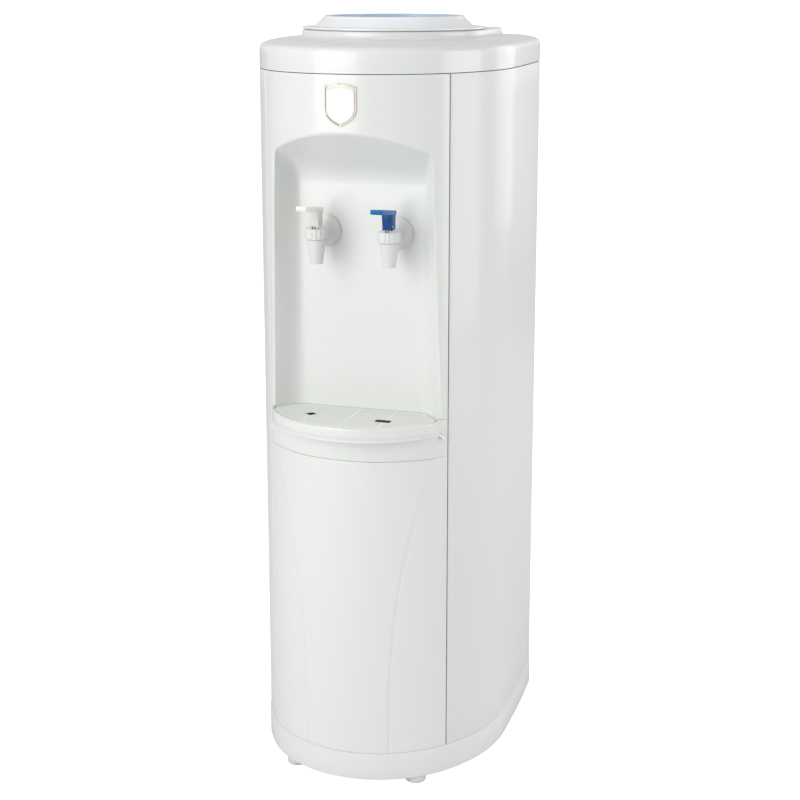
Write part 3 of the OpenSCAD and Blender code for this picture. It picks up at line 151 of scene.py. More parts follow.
# Plan of the cabinet in millimetres: a front arc, two bowed sides and a flat rear
FRONT_R, FRONT_CY, FRONT_ANGLE = 148, -35, 53
HALF_W, REAR_Y = 161, 183
FRONT_SIN, FRONT_COS = math.sin(math.radians(FRONT_ANGLE)), math.cos(math.radians(FRONT_ANGLE))
SIDE_R = (HALF_W - FRONT_R * FRONT_SIN) / (1 - FRONT_SIN)
SIDE_CX = HALF_W - SIDE_R
SIDE_CY = FRONT_CY + (SIDE_R - FRONT_R) * FRONT_COS
REAR_SIDE_R = 2300
CORNER_R = 4

# Levels of the seams, and the raised middle of the front: its foot and top width, and its rise
PANEL_LOW, LOWER_TOP, UPPER_TOP = 46.4, 433.8, 903.7
RIDGE_LOW_Z, RIDGE_FOOT_X, RIDGE_SPREAD, RIDGE_RISE, RIDGE_STEP = 46, 54, 53, 0.9, 1.8
MM = 0.001


def moulded(name, colour, rough, vary=0.012, grain=420, bump=0.04, coat=0.0):
    """Moulded plastic: a colour that drifts slightly, flow marks in the gloss and a fine skin."""
    material = bpy.data.materials.new(name)
    material.use_nodes = True
    nodes, links, shader = material.node_tree.nodes, material.node_tree.links, shader_of(material)
    place = nodes.new("ShaderNodeTexCoord")
    drift = nodes.new("ShaderNodeTexNoise")
    drift.inputs["Scale"].default_value = 7
    drift.inputs["Detail"].default_value = 3
    links.new(place.outputs["Object"], drift.inputs["Vector"])
    tone = nodes.new("ShaderNodeValToRGB")
    tone.color_ramp.elements[0].position = 0.0
    tone.color_ramp.elements[1].position = 1.0
    tone.color_ramp.elements[0].color = (*[c * (1 - vary) for c in colour], 1)
    tone.color_ramp.elements[1].color = (*colour, 1)
    links.new(drift.outputs["Fac"], tone.inputs["Fac"])
    links.new(tone.outputs["Color"], shader.inputs["Base Color"])
    skin = nodes.new("ShaderNodeTexNoise")
    skin.inputs["Scale"].default_value = grain
    skin.inputs["Detail"].default_value = 2
    links.new(place.outputs["Object"], skin.inputs["Vector"])
    gloss = nodes.new("ShaderNodeMapRange")
    gloss.inputs["To Min"].default_value = rough * 0.96
    gloss.inputs["To Max"].default_value = rough * 1.04
    links.new(drift.outputs["Fac"], gloss.inputs["Value"])
    links.new(gloss.outputs["Result"], shader.inputs["Roughness"])
    relief = nodes.new("ShaderNodeBump")
    relief.inputs["Strength"].default_value = bump
    relief.inputs["Distance"].default_value = 0.0004
    links.new(skin.outputs["Fac"], relief.inputs["Height"])
    links.new(relief.outputs["Normal"], shader.inputs["Normal"])
    shader.inputs["Coat Weight"].default_value = coat
    shader.inputs["Coat Roughness"].default_value = 0.05
    shader.inputs["IOR"].default_value = 1.49
    return material


def finish_piece(bm, name, body, slot, nodes, *materials, weld=0.01, recalc=False, edge=0.0,
                 wall=0.0, smooth=38):
    """A mesh drawn in millimetres becomes a piece in metres, in place on its body."""
    if weld:
        bmesh.ops.remove_doubles(bm, verts=bm.verts, dist=weld)
        bmesh.ops.dissolve_degenerate(bm, edges=bm.edges, dist=weld / 2)
    if recalc:
        bmesh.ops.recalc_face_normals(bm, faces=bm.faces)
    bmesh.ops.scale(bm, vec=(MM, MM, MM), verts=bm.verts)
    for face in bm.faces:
        face.smooth = True
    for line in bm.edges:
        if len(line.link_faces) == 2 and line.calc_face_angle(0) > math.radians(smooth):
            line.smooth = False
    mesh = bpy.data.meshes.new(name)
    bm.to_mesh(mesh)
    bm.free()
    for material in materials:
        mesh.materials.append(material)
    piece = bpy.data.objects.new(name, mesh)
    bpy.context.scene.collection.objects.link(piece)
    if wall:
        shell = piece.modifiers.new("wall", "SOLIDIFY")
        shell.thickness = wall / 1000
        shell.offset = -1
        shell.use_even_offset = True
    if edge:
        ease = piece.modifiers.new("edge", "BEVEL")
        ease.width = edge / 1000
        ease.segments = 2
        ease.limit_method = "ANGLE"
        ease.angle_limit = math.radians(55)
        ease.harden_normals = False
    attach(piece, body)
    if nodes:
        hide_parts(*nodes)
    return piece


def front_arc(inset, steps=22):
    """Points of the front's right half, from the middle to the seam."""
    r = FRONT_R - inset
    angles = [math.radians(FRONT_ANGLE * k / steps) for k in range(steps + 1)]
    return [(r * math.sin(a), FRONT_CY - r * math.cos(a)) for a in angles]


def side_arc(inset, corner, back, rear_steps=10):
    """Points of the right side from the seam to the rear: bow, nearly straight run and corner."""
    r = SIDE_R - inset
    bow = [math.radians(FRONT_ANGLE + (90 - FRONT_ANGLE) * k / 16) for k in range(17)]
    points = [(SIDE_CX + r * math.sin(a), SIDE_CY - r * math.cos(a)) for a in bow]
    run_r = REAR_SIDE_R - inset
    for k in range(1, rear_steps + 1):
        y = SIDE_CY + (back - corner - SIDE_CY) * k / rear_steps
        points.append((HALF_W - REAR_SIDE_R + math.sqrt(run_r ** 2 - (y - SIDE_CY) ** 2), y))
    x = points[-1][0]
    for k in range(1, 6):
        a = math.radians(18 * k)
        points.append((x - corner + corner * math.cos(a), back - corner + corner * math.sin(a)))
    return points


def outline(inset):
    """The cabinet's whole outline in plan, anticlockwise, starting at the middle of the front."""
    deep = max(inset, 0)
    sides = side_arc(inset, max(CORNER_R - deep * 0.5, 0.6), REAR_Y - deep)
    right = front_arc(inset)[:-1] + sides
    return right + [(-x, y) for x, y in reversed(right[1:])]


def stack(rings, closed=True):
    """A body whose first ring of points is extruded from level to level, with or without ends."""
    bm = bmesh.new()
    count = len(rings[0])
    low = [bm.verts.new(p) for p in rings[0]]
    base = bm.faces.new(list(reversed(low)))
    loop = [bm.edges.get((low[k], low[(k + 1) % count])) for k in range(count)]
    for ring in rings[1:]:
        made = bmesh.ops.extrude_edge_only(bm, edges=loop)
        raised_verts = [v for v in made["geom"] if isinstance(v, bmesh.types.BMVert)]
        partner = {}
        for v in raised_verts:
            for e in v.link_edges:
                other = e.other_vert(v)
                if other in low:
                    partner[other] = v
        low = [partner[v] for v in low]
        for v, p in zip(low, ring):
            v.co = p
        loop = [bm.edges.get((low[k], low[(k + 1) % count])) for k in range(count)]
    if closed:
        bm.faces.new(low)
    else:
        bmesh.ops.delete(bm, geom=[base], context="FACES_ONLY")
    return bm


def level(points, z):
    """An outline in plan laid at a height."""
    return [(x, y, z) for x, y in points]


front_white = moulded("front_white", (0.80, 0.815, 0.785), 0.3, coat=0.38)


def raised(x, half_width):
    """How far the raised middle of the front stands out at x, with a soft step at its edge."""
    t = min(max((half_width - abs(x)) / RIDGE_STEP + 0.5, 0), 1)
    return RIDGE_RISE * t * t * (3 - 2 * t)


def proud_outline(inset):
    """The cabinet's outline with the raised middle of the front added to it."""
    points = []
    for x, y in outline(inset):
        if y < -100:
            out = raised(x, RIDGE_FOOT_X)
            length = math.hypot(x, y - FRONT_CY)
            x, y = x + out * x / length, y + out * (y - FRONT_CY) / length
        points.append((x, y))
    return points


plinth = stack([level(proud_outline(inset), z) for inset, z in (
    (3, 10), (0.5, 10), (-0.5, 10.5), (-1, 12), (-1, 28), (-1, 44.5), (-0.7, 45.6), (0, 46))]
    + [level(outline(3.5), z) for z in (46, 13)])
finish_piece(plinth, "plinth_moulding", "cabinet", "front_plastic", ["base_plinth"], front_white,
             recalc=True)

# Feet
# Four short pads of pale grey rubber pressed into the plinth's floor.

foot_rubber = moulded("foot_rubber", (0.72, 0.72, 0.71), 0.62, vary=0.06, grain=900, bump=0.15)
ROUND = 2 * math.pi


def turned(profile, centre, steps=64):
    """A body turned round an upright axis from a profile of radius and height."""
    bm = bmesh.new()
    line = [bm.verts.new((r, 0, z)) for r, z in profile]
    edges = [bm.edges.new(pair) for pair in zip(line, line[1:])]
    bmesh.ops.spin(bm, geom=line + edges, cent=(0, 0, 0), axis=(0, 0, 1), angle=ROUND,
                   steps=steps, use_merge=True)
    bmesh.ops.remove_doubles(bm, verts=bm.verts, dist=0.005)
    bmesh.ops.recalc_face_normals(bm, faces=bm.faces)
    bmesh.ops.translate(bm, vec=centre, verts=bm.verts)
    return bm


def together(parts):
    """Several bodies in one mesh."""
    whole = bmesh.new()
    for part in parts:
        mesh = bpy.data.meshes.new("part")
        part.to_mesh(mesh)
        part.free()
        whole.from_mesh(mesh)
        bpy.data.meshes.remove(mesh)
    return whole


pad = [(0, 0.0), (10.5, 0.0), (12.2, 0.6), (13, 2), (13, 9), (12.4, 10), (0, 10)]
FOOT_PLACES = ((-82, -142), (82, -142), (-118, 145), (118, 145))
feet = together([turned(pad, (x, y, 0), 40) for x, y in FOOT_PLACES])
finish_piece(feet, "foot_pads", "cabinet", "foot_rubber", ["feet"], foot_rubber)

# Lower front panel
# A curved panel of the same white ABS between the side panels. Two long edges rise from the
# plinth and open towards the drip shelf, and the middle between them stands 0.9 mm proud.

SEAM_GAP, EDGE_R = 1.3, 0.8
SEAM_ANGLE = FRONT_ANGLE - math.degrees(SEAM_GAP / FRONT_R)
GROOVE_DEPTH, GROOVE_OFFSET, GROOVE_HALF = 0.5, 1.0, 1.1


def front_y(x):
    """Depth of the front's face at x."""
    return FRONT_CY - math.sqrt(FRONT_R ** 2 - x ** 2)


def turned_in(angle, flange, ease, way):
    """A flange along a radius of the front's arc, then a small rounded edge out to the face.

    The edge slides towards the middle of the front (way -1) or towards the rear (way 1).
    """
    a = math.radians(angle)
    along = (math.sin(a), -math.cos(a))
    aside = (way * math.cos(a), way * math.sin(a))
    points = [(along[0] * r, FRONT_CY + along[1] * r) for r in (*flange, FRONT_R - ease - 0.2)]
    for k in range(1, 5):
        b = math.radians(22.5 * k)
        out = FRONT_R - ease + ease * math.sin(b)
        slide = ease * (1 - math.cos(b))
        points.append((along[0] * out + aside[0] * slide,
                       FRONT_CY + along[1] * out + aside[1] * slide))
    return points


flange_points = turned_in(SEAM_ANGLE, (136, 141), EDGE_R, -1)
LEFT_FLANGE = [(-x, y) for x, y in flange_points]
RIGHT_FLANGE = list(reversed(flange_points))
EDGE_X = flange_points[-1][0]
# Painted shade: near-black on the flanges inside the upright seams stands in for the dark depth of
# the gaps.
painted_seam_shade = moulded("painted_seam_shade", (0.10, 0.10, 0.10), 0.6)


def paint_seam_shade(bm):
    """The flanges beside the upright seams take the second material, near-black painted shade for
    the dark depth of the seam gaps.
    """
    for face in bm.faces:
        spot = face.calc_center_median()
        turn = math.degrees(math.atan2(abs(spot.x), FRONT_CY - spot.y))
        if 52.2 < turn < 53.2 and math.hypot(spot.x, spot.y - FRONT_CY) < FRONT_R - 1.2:
            face.material_index = 1
    return bm


def columns_between(stops):
    """Positions from the middle outwards: each stop gives a limit and the step up to it."""
    xs = [0.0]
    for limit, step in stops:
        while xs[-1] + step < limit - 1e-6:
            xs.append(xs[-1] + step)
        xs.append(limit)
    return [-x for x in reversed(xs[1:])] + xs


def sheet(columns, rows, place):
    """A sheet with one vertex for each column and row, each moved to its place by a rule."""
    bm = bmesh.new()
    bmesh.ops.create_grid(bm, x_segments=columns - 1, y_segments=rows - 1, size=1)
    for v in bm.verts:
        i = round((v.co.x + 1) / 2 * (columns - 1))
        j = round((v.co.y + 1) / 2 * (rows - 1))
        v.co = place(i, j)
    return bm


def front_sheet(stops, rows, on_flange, on_face):
    """A front moulding's sheet: a flange at each end and the columns of the face between them."""
    xs = columns_between(stops)
    left, right = len(LEFT_FLANGE), len(RIGHT_FLANGE)
    count = left + len(xs) - 2 + right

    def place(i, j):
        if i < left:
            return on_flange(*LEFT_FLANGE[i], j)
        if i >= count - right:
            return on_flange(*RIGHT_FLANGE[i - count + right], j)
        return on_face(xs[i - left + 1], j)

    return paint_seam_shade(sheet(count, rows, place))


def ridge_x(z):
    """Half the width of the raised middle at a height."""
    share = min(max((z - RIDGE_LOW_Z) / 388, 0), 1)
    return RIDGE_FOOT_X + RIDGE_SPREAD * share ** 2.6


lower_zs = [PANEL_LOW + (LOWER_TOP - PANEL_LOW) * k / 96 for k in range(97)]


def lower_face(x, j):
    """A point of the lower front: raised middle, and a shallow groove outside its edge."""
    z = lower_zs[j]
    beside = (abs(x) - ridge_x(z) - GROOVE_OFFSET) / GROOVE_HALF
    out = raised(x, ridge_x(z)) - GROOVE_DEPTH * math.exp(-beside ** 2)
    return (x, front_y(x) - out * math.sqrt(1 - (x / FRONT_R) ** 2), z)


lower_front = front_sheet([(48, 4), (112, 0.8), (EDGE_X, 1.2)], len(lower_zs),
                          lambda x, y, j: (x, y, lower_zs[j]), lower_face)
finish_piece(lower_front, "lower_front", "cabinet", "front_plastic", ["lower_front_panel"],
             front_white, painted_seam_shade, wall=2.5, edge=0.5)

# Drip shelf
# A separate white moulding across the front. It carries the round-fronted shelf with an upright
# lip and a soft underside, and a basin sunk in its top takes the drip tray.

SHELF_R, SHELF_CY, SHELF_Z, BASIN_Z = 128, -79, 482, 465
BACK_Y, BACK_X, MOUTH_LOW, MOUTH_HIGH = -107, 87, 110.5, 100
SHELF_RIM = 4
LIP_EDGE_R = 2.4
SHELF_SIDE_Z = SHELF_Z - 0.2


def soft_min(a, b, k):
    """The smaller of two values, with the change from one to the other rounded over k."""
    h = min(max(0.5 + 0.5 * (b - a) / k, 0), 1)
    return b + (a - b) * h - k * h * (1 - h)


def soft_max(a, b, k):
    """The larger of two values, rounded in the same way."""
    return -soft_min(-a, -b, k)


def shelf_y(x, r):
    """Depth of the shelf's round front at x."""
    return SHELF_CY - math.sqrt(r * r - x * x) if abs(x) < r else 0.0


def wall_y(x, mouth, shift=0.0):
    """Depth of the alcove's slanted side walls, moved towards the viewer by shift."""
    slope = (front_y(mouth) - BACK_Y) / (mouth - BACK_X)
    return BACK_Y + (abs(x) - BACK_X) * slope - shift * math.sqrt(1 + slope * slope)


# Profile rows of the shelf, from the level of the lower seam up and over the lip: kind and value
shelf_rows = [("face", z) for z in (434.2, 440, 446, 452, 457)]
shelf_rows += [("under", SHELF_R - inset, SHELF_Z - drop) for inset, drop in [
    (38, 24), (24, 23.6), (15, 22.7), (10, 21.4), (7, 19.8), (4.5, 18), (2.6, 16),
    (1.2, 14), (0.4, 12), (0, 10), (0, 7), (0, 3.4),
]]
for k in range(1, 6):
    turn = math.radians(18 * k)
    shelf_rows.append(("top", SHELF_R - LIP_EDGE_R + LIP_EDGE_R * math.cos(turn),
                       SHELF_Z - LIP_EDGE_R + LIP_EDGE_R * math.sin(turn)))
shelf_rows += [("top", SHELF_R - 3.4, SHELF_Z)]
shelf_rows += [("basin", 0, SHELF_Z - drop) for drop in (0.4, 5, 16.6)]
shelf_rows += [("floor", f, BASIN_Z) for f in (0.02, 0.2, 0.5, 0.8, 0.98)]
shelf_rows += [("basin", 1, SHELF_Z - drop) for drop in (16.6, 5, 0.4)]
shelf_rows += [("ledge", 0.15, SHELF_Z), ("ledge", 1, SHELF_Z)]


def basin_limits(x):
    """Front and back edge of the basin at x; they meet where the basin ends."""
    front = shelf_y(x, SHELF_R - SHELF_RIM)
    back = min(BACK_Y - SHELF_RIM, wall_y(x, MOUTH_LOW, SHELF_RIM))
    if front > back - 0.5:
        middle = max(min(front, front_y(x)), front_y(x) + 1.5)
        return middle, middle, False
    return front, back, True


def shelf_flange(x, y, j):
    """A point of the shelf's flange, which ends just below the shelf's top."""
    kind, z = shelf_rows[j][0], shelf_rows[j][-1]
    return (x, y, min(z, SHELF_SIDE_Z) if kind in ("face", "under") else SHELF_SIDE_Z)


def shelf_face(x, j):
    """A point of the shelf: face, lip that fades out at its ends, basin and ledge behind it."""
    kind, share, z = shelf_rows[j][0], shelf_rows[j][1], shelf_rows[j][-1]
    face = front_y(x)
    if kind == "face":
        return (x, face, z)
    if kind in ("under", "top"):
        fade = min(max((abs(x) - 100) / 16, 0), 1)
        reach = soft_min(face, shelf_y(x, share), 5) - face
        y = face + reach * (1 - fade * fade * (3 - 2 * fade))
        return (x, y, min(z, SHELF_SIDE_Z) if y > face - 0.4 else z)
    front, back, sunk = basin_limits(x)
    if not sunk:
        return (x, front + 0.001 * j, SHELF_SIDE_Z)
    if kind == "basin":
        return (x, front if share == 0 else back, z)
    if kind == "floor":
        return (x, front + (back - front) * share, z)
    foot = min(BACK_Y, wall_y(x, MOUTH_LOW)) + 1.5
    return (x, back + (foot - back) * share, z)


shelf_skin = front_sheet([(80, 5), (EDGE_X, 1)], len(shelf_rows), shelf_flange, shelf_face)
finish_piece(shelf_skin, "drip_shelf", "cabinet", "front_plastic", ["shelf_housing"],
             front_white, painted_seam_shade, wall=2.2, weld=0.004, edge=0.4)

# Upper front panel
# The tall white moulding with the tap alcove: a flat back, side walls that open towards the
# front, and a sloping ceiling whose lip follows the curve of the face.

SOFFIT_Z, LIP_Z, FACE_Y = 787, 834, -183
SOFFIT_SLOPE = (LIP_Z - SOFFIT_Z) / (BACK_Y - FACE_Y)
CEILING_Z = 760
upper_zs = [482.2, 484, 488]
for limit, step in [(752, 14), (816, 2), (828, 1.2), (841, 0.8), (850, 1.5), (UPPER_TOP, 5)]:
    while upper_zs[-1] + step < limit - 1e-6:
        upper_zs.append(upper_zs[-1] + step)
    upper_zs.append(limit)


def mouth_x(z):
    """Half the width of the alcove's mouth at a height."""
    share = min(max((z - SHELF_Z) / (LIP_Z - SHELF_Z), 0), 1)
    return MOUTH_LOW + (MOUTH_HIGH - MOUTH_LOW) * share


def between(value, marks):
    """Piecewise straight map through pairs of marks."""
    for (a, to_a), (b, to_b) in zip(marks, marks[1:]):
        if value <= b:
            return to_a + (to_b - to_a) * (value - a) / (b - a)
    return marks[-1][1]


def upper_face(u, j):
    """A point of the upper front: face, side walls, back wall and sloping ceiling."""
    z = upper_zs[j]
    marks = [(0, 0), (BACK_X, BACK_X), (MOUTH_LOW, mouth_x(z)), (EDGE_X, EDGE_X)]
    x = math.copysign(between(abs(u), marks), u)
    lip = SOFFIT_Z + SOFFIT_SLOPE * (BACK_Y - front_y(min(abs(x), MOUTH_HIGH)))
    if z > CEILING_Z:
        z = between(z, [(CEILING_Z, CEILING_Z), (LIP_Z, lip), (UPPER_TOP, UPPER_TOP)])
    ceiling = BACK_Y - (z - SOFFIT_Z) / SOFFIT_SLOPE
    depth = soft_min(BACK_Y, ceiling, 30)
    depth = soft_min(depth, wall_y(x, mouth_x(z)), 15)
    return (x, soft_max(front_y(x), depth, 4.5), z)


upper_front = front_sheet([(80, 4), (EDGE_X, 0.9)], len(upper_zs),
                          lambda x, y, j: (x, y, upper_zs[j]), upper_face)
finish_piece(upper_front, "upper_front", "cabinet", "front_plastic", ["upper_front_panel"],
             front_white, painted_seam_shade, wall=2.0, edge=0.4)

# Drip tray
# A shallow white tray with upright walls that lifts out of the shelf's basin. It is painted mid
# grey, painted shade for the shadow under the grille.

TRAY_GAP = 0.5


def shelf_outline(inset, back_steps=14, slant_steps=6, arc_steps=34):
    """The plan of the tray: round front, slanted ends and straight back, anticlockwise."""
    slope = (front_y(109) - BACK_Y) / (109 - BACK_X + 1)
    shift = inset * math.sqrt(1 + slope * slope)
    r = SHELF_R - inset

    def slant(x):
        return BACK_Y + (x - BACK_X + 1) * slope - shift

    back = BACK_Y - inset
    corner = BACK_X - 1 + (back + shift - BACK_Y) / slope
    end = corner
    while slant(end) > shelf_y(end, r):
        end += 0.02
    right = [(corner * k / back_steps, back) for k in range(back_steps)] + [(corner, back)]
    for k in range(1, slant_steps + 1):
        x = corner + (end - corner) * k / slant_steps
        right.append((x, slant(x)))
    start = math.asin(end / r)
    for k in range(1, arc_steps + 1):
        a = start * (1 - k / arc_steps)
        right.append((r * math.sin(a), SHELF_CY - r * math.cos(a)))
    return list(reversed(right)) + [(-x, y) for x, y in right[1:-1]]


# Painted shade: the tray's white is darkened to mid grey for the shadow under the grille.
tray_painted_shade = moulded("tray_painted_shade", (0.50, 0.51, 0.50), 0.4)
rim = SHELF_RIM + TRAY_GAP
tray = stack([level(shelf_outline(rim + inset), z) for inset, z in (
    (1.0, 465.3), (0.2, 465.8), (0, 467), (0, 478.9), (1.8, 478.9), (1.8, 467.1))])
finish_piece(tray, "drip_tray_pan", "tray", "tray_plastic", ["drip_tray"], tray_painted_shade,
             recalc=True)

# Drip grille
# The slotted white cover of the tray: fine bars along the shelf, three cross ribs, a square hole
# and a long hole, each with a near-black collar in it, painted shade for the dark inside of the
# hole. Its white is set lighter than the front's, partly painted light. It rests on the tray's wall
# and lifts off.

# Painted light: the grille's white is set lighter than the front's to make up for light the
# alcove's ceiling keeps off it.
grille_white_painted_light = moulded("grille_white_painted_light", (0.88, 0.89, 0.86), 0.35)


def eased_copy(node, name, body, slot, *materials, edge=0.3, flat=0.5, extra=None):
    """A CAD solid's own shape, welded from its loose triangles and given eased edges."""
    bm = bmesh.new()
    bm.from_mesh(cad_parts[node].data)
    bmesh.ops.scale(bm, vec=(1000, 1000, 1000), verts=bm.verts)
    bmesh.ops.remove_doubles(bm, verts=bm.verts, dist=0.004)
    if flat:
        bmesh.ops.dissolve_limit(bm, angle_limit=math.radians(flat), verts=bm.verts,
                                 edges=bm.edges)
    for face in bm.faces:
        face.material_index = 0
    if extra:
        bm = together([bm] + extra)
    piece = finish_piece(bm, name, body, slot, [node], *materials, weld=0, edge=edge)
    if edge:
        piece.modifiers["edge"].use_clamp_overlap = False
    return piece


# Painted shade: the near-black collars stand in for the shade inside the grille's two holes.
painted_hole_shade = moulded("painted_hole_shade", (0.05, 0.05, 0.05), 0.5)


def hole_shade_collar(x, y, w, d, turn):
    """A near-black square collar in one of the grille's two holes: painted shade for the hole's
    inside.
    """
    c, t = math.cos(math.radians(turn)), math.sin(math.radians(turn))

    def ring(inset, z):
        corners = [(sx * (w / 2 - inset), sy * (d / 2 - inset))
                   for sx, sy in ((-1, -1), (1, -1), (1, 1), (-1, 1))]
        return [(x + c * px - t * py, y + t * px + c * py, z) for px, py in corners]

    collar = stack([ring(0.06, 470), ring(0.06, 481.5), ring(0.9, 481.5), ring(0.9, 470),
                    ring(0.06, 470)], closed=False)
    bmesh.ops.remove_doubles(collar, verts=collar.verts, dist=0.01)
    bmesh.ops.recalc_face_normals(collar, faces=collar.faces)
    for face in collar.faces:
        face.material_index = 1
    return collar


hole_shades = [hole_shade_collar(-53, -152, 11, 11, 45), hole_shade_collar(44, -159, 20, 12, 0)]
eased_copy("drip_grille", "drip_grille_plate", "grille", "grille_plastic", grille_white_painted_light,
           painted_hole_shade, edge=0, flat=0, extra=hole_shades)

# Badge
# A small blank shield on the face above the alcove: white enamel in a polished rim, with a thin
# gold line inside it. Both are curved to the face.


def polished(name, colour, rough=0.16, vary=0.06):
    """Bright metal whose gloss drifts a little."""
    material = moulded(name, colour, rough, vary=vary, grain=1500, bump=0.03)
    shader_of(material).inputs["Metallic"].default_value = 1.0
    return material


badge_white = moulded("badge_white", (0.83, 0.83, 0.82), 0.12, vary=0.004, bump=0.0, coat=0.6)
badge_silver = polished("badge_silver", (0.62, 0.6, 0.56))
badge_gold = polished("badge_gold", (0.78, 0.55, 0.24), 0.22)


BADGE_HALF, BADGE_LOW, BADGE_TOP, BADGE_DIP = 20, 843, 894, 3.5
BADGE_CURVE = (BADGE_TOP - BADGE_LOW) * 0.42


def shield(inset, proud):
    """The shield's outline at an inset, laid on the face and lifted off it."""
    w = BADGE_HALF - inset
    top = BADGE_TOP - inset
    low = BADGE_LOW + BADGE_CURVE
    drop = BADGE_CURVE - inset * 1.1
    half = [(w * k / 6, top - BADGE_DIP * (k / 6) ** 1.4) for k in range(7)]
    half += [(w, top - BADGE_DIP - (top - BADGE_DIP - low) * k / 6) for k in range(1, 6)]
    half += [(w * (1 - (k / 22) ** 2.5), low - drop * k / 22) for k in range(22)]
    points = half + [(0, low - drop)] + [(-x, z) for x, z in reversed(half[1:])]
    return [(x, front_y(x) - proud, z) for x, z in points]


rim_body = stack([shield(*row) for row in (
    (0, 0.06), (0, 1.1), (0.35, 1.6), (0.9, 1.8), (1.5, 1.6), (1.95, 1.2), (1.95, 0.06),
    (0, 0.06))], closed=False)
finish_piece(rim_body, "badge_frame", "cabinet", "badge_metal", ["badge_rim"], badge_silver,
             recalc=True)
plate = stack([shield(*row) for row in (
    (2.0, 0.06), (2.0, 0.95), (2.25, 1.15), (2.9, 1.17), (3.05, 1.05), (6, 1.05), (10, 1.05),
    (15, 1.05), (19, 1.05))])
bmesh.ops.recalc_face_normals(plate, faces=plate.faces)
# The plate's upright edge and its raised line are gold, its flat middle is enamel
for face in plate.faces:
    spot = face.calc_center_median()
    lift = front_y(spot.x) - spot.y
    if lift > 1.11 or 0.5 < lift < 1.0:
        face.material_index = 1
finish_piece(plate, "badge_enamel_plate", "cabinet", "badge_enamel", ["badge_plate"],
             badge_white, badge_gold)

# Side panels
# Left and right panels of 1.2 mm steel sheet, powder coated in a cooler white with a fine skin.
# Each is folded inwards at the front seam and round the rear corner, where the screws hold it.


def coated(name, colour):
    """Powder coat on steel: even colour with a fine orange-peel skin."""
    return moulded(name, colour, 0.34, vary=0.01, grain=900, bump=0.08, coat=0.2)


side_white = coated("side_white", (0.785, 0.79, 0.79))
STEEL_T = 1.2


def side_plan(side):
    """A side panel's plan, from the seam's flange round the bow to the fold at the rear."""
    rear = REAR_Y - STEEL_T
    points = turned_in(FRONT_ANGLE, (136, 142), STEEL_T, 1)
    points += side_arc(0, 3, rear)[1:]
    points += [(points[-1][0] - step, rear) for step in (4, 8, 12)]
    return points if side > 0 else [(-x, y) for x, y in reversed(points)]


side_zs = [PANEL_LOW + (UPPER_TOP - PANEL_LOW) * k / 24 for k in range(25)]
for side, word in ((1, "right"), (-1, "left")):
    plan = side_plan(side)
    steel = sheet(len(plan), len(side_zs), lambda i, j: (*plan[i], side_zs[j]))
    finish_piece(paint_seam_shade(steel), f"{word}_side", "cabinet", "side_steel",
                 [f"{word}_side_panel"], side_white, painted_seam_shade, wall=STEEL_T, edge=0.25)

# Rear panel
# A flat sheet of the same coated steel with two banks of vent slots, screwed to the side panels'
# folds. Pan-head screws also carry the condenser's brackets.

rear_white = coated("rear_white", (0.70, 0.70, 0.715))
eased_copy("rear_panel", "rear_sheet", "cabinet", "rear_steel", rear_white, edge=0.15)
zinc = polished("zinc", (0.5, 0.51, 0.52), 0.35)
eased_copy("rear_screws", "rear_screw_heads", "cabinet", "zinc_fastener", zinc, edge=0.12)

# Top cover
# One white moulding that caps the cabinet: an upright band, a shallow dome and a raised platform
# whose hole takes the bottle receptacle. It is clipped over the panels.

RECEPTACLE_Y = 22
PLATFORM_R, PLATFORM_REAR, PLATFORM_BEND, HOLE_R = 117, 144, 30, 104.5


def smooth_steps(marks, count):
    """Even samples of a soft curve through marks of (position, value)."""
    out = []
    for k in range(count + 1):
        t = marks[0][0] + (marks[-1][0] - marks[0][0]) * k / count
        i = max(n for n in range(len(marks) - 1) if marks[n][0] <= t or n == 0)
        (t0, v0), (t1, v1) = marks[i], marks[i + 1]
        before = marks[max(i - 1, 0)]
        after = marks[min(i + 2, len(marks) - 1)]
        m0 = (v1 - before[1]) / (t1 - before[0])
        m1 = (after[1] - v0) / (after[0] - t0)
        h = t1 - t0
        f = (t - t0) / h
        out.append((2 * f ** 3 - 3 * f ** 2 + 1) * v0 + (f ** 3 - 2 * f ** 2 + f) * h * m0
                   + (-2 * f ** 3 + 3 * f ** 2) * v1 + (f ** 3 - f ** 2) * h * m1)
    return out


dome_height = smooth_steps([(0, 926), (1, 929.6), (2, 932.2), (3, 934.2), (4, 936), (5, 938.2),
                            (6, 939.6), (7, 940.5), (8, 941)], 32)
dome_inset = smooth_steps([(0, 0), (1, 0.35), (2, 1.5), (3, 3.4), (4, 7), (5, 15), (6, 23),
                           (7, 32), (8, 42)], 32)


def hole_ring(points, z):
    """The round hole's edge with one point for each point of an outline."""
    ring = []
    for x, y in points:
        reach = math.hypot(x, y - RECEPTACLE_Y)
        ring.append((HOLE_R * x / reach, RECEPTACLE_Y + HOLE_R * (y - RECEPTACLE_Y) / reach, z))
    return ring


band = [(2.5, 905.5), (2.2, 904.8), (0.5, 904.5), (0.1, 904.9), (0, 905.8), (0, 916)]
inside = [(44, 938.5), (20, 936), (6, 930), (2.6, 922), (2.5, 905.5)]
cover = stack([level(outline(i), z) for i, z in band + list(zip(dome_inset, dome_height))]
              + [hole_ring(outline(42), z) for z in (941, 938.5)]
              + [level(outline(i), z) for i, z in inside], closed=False)


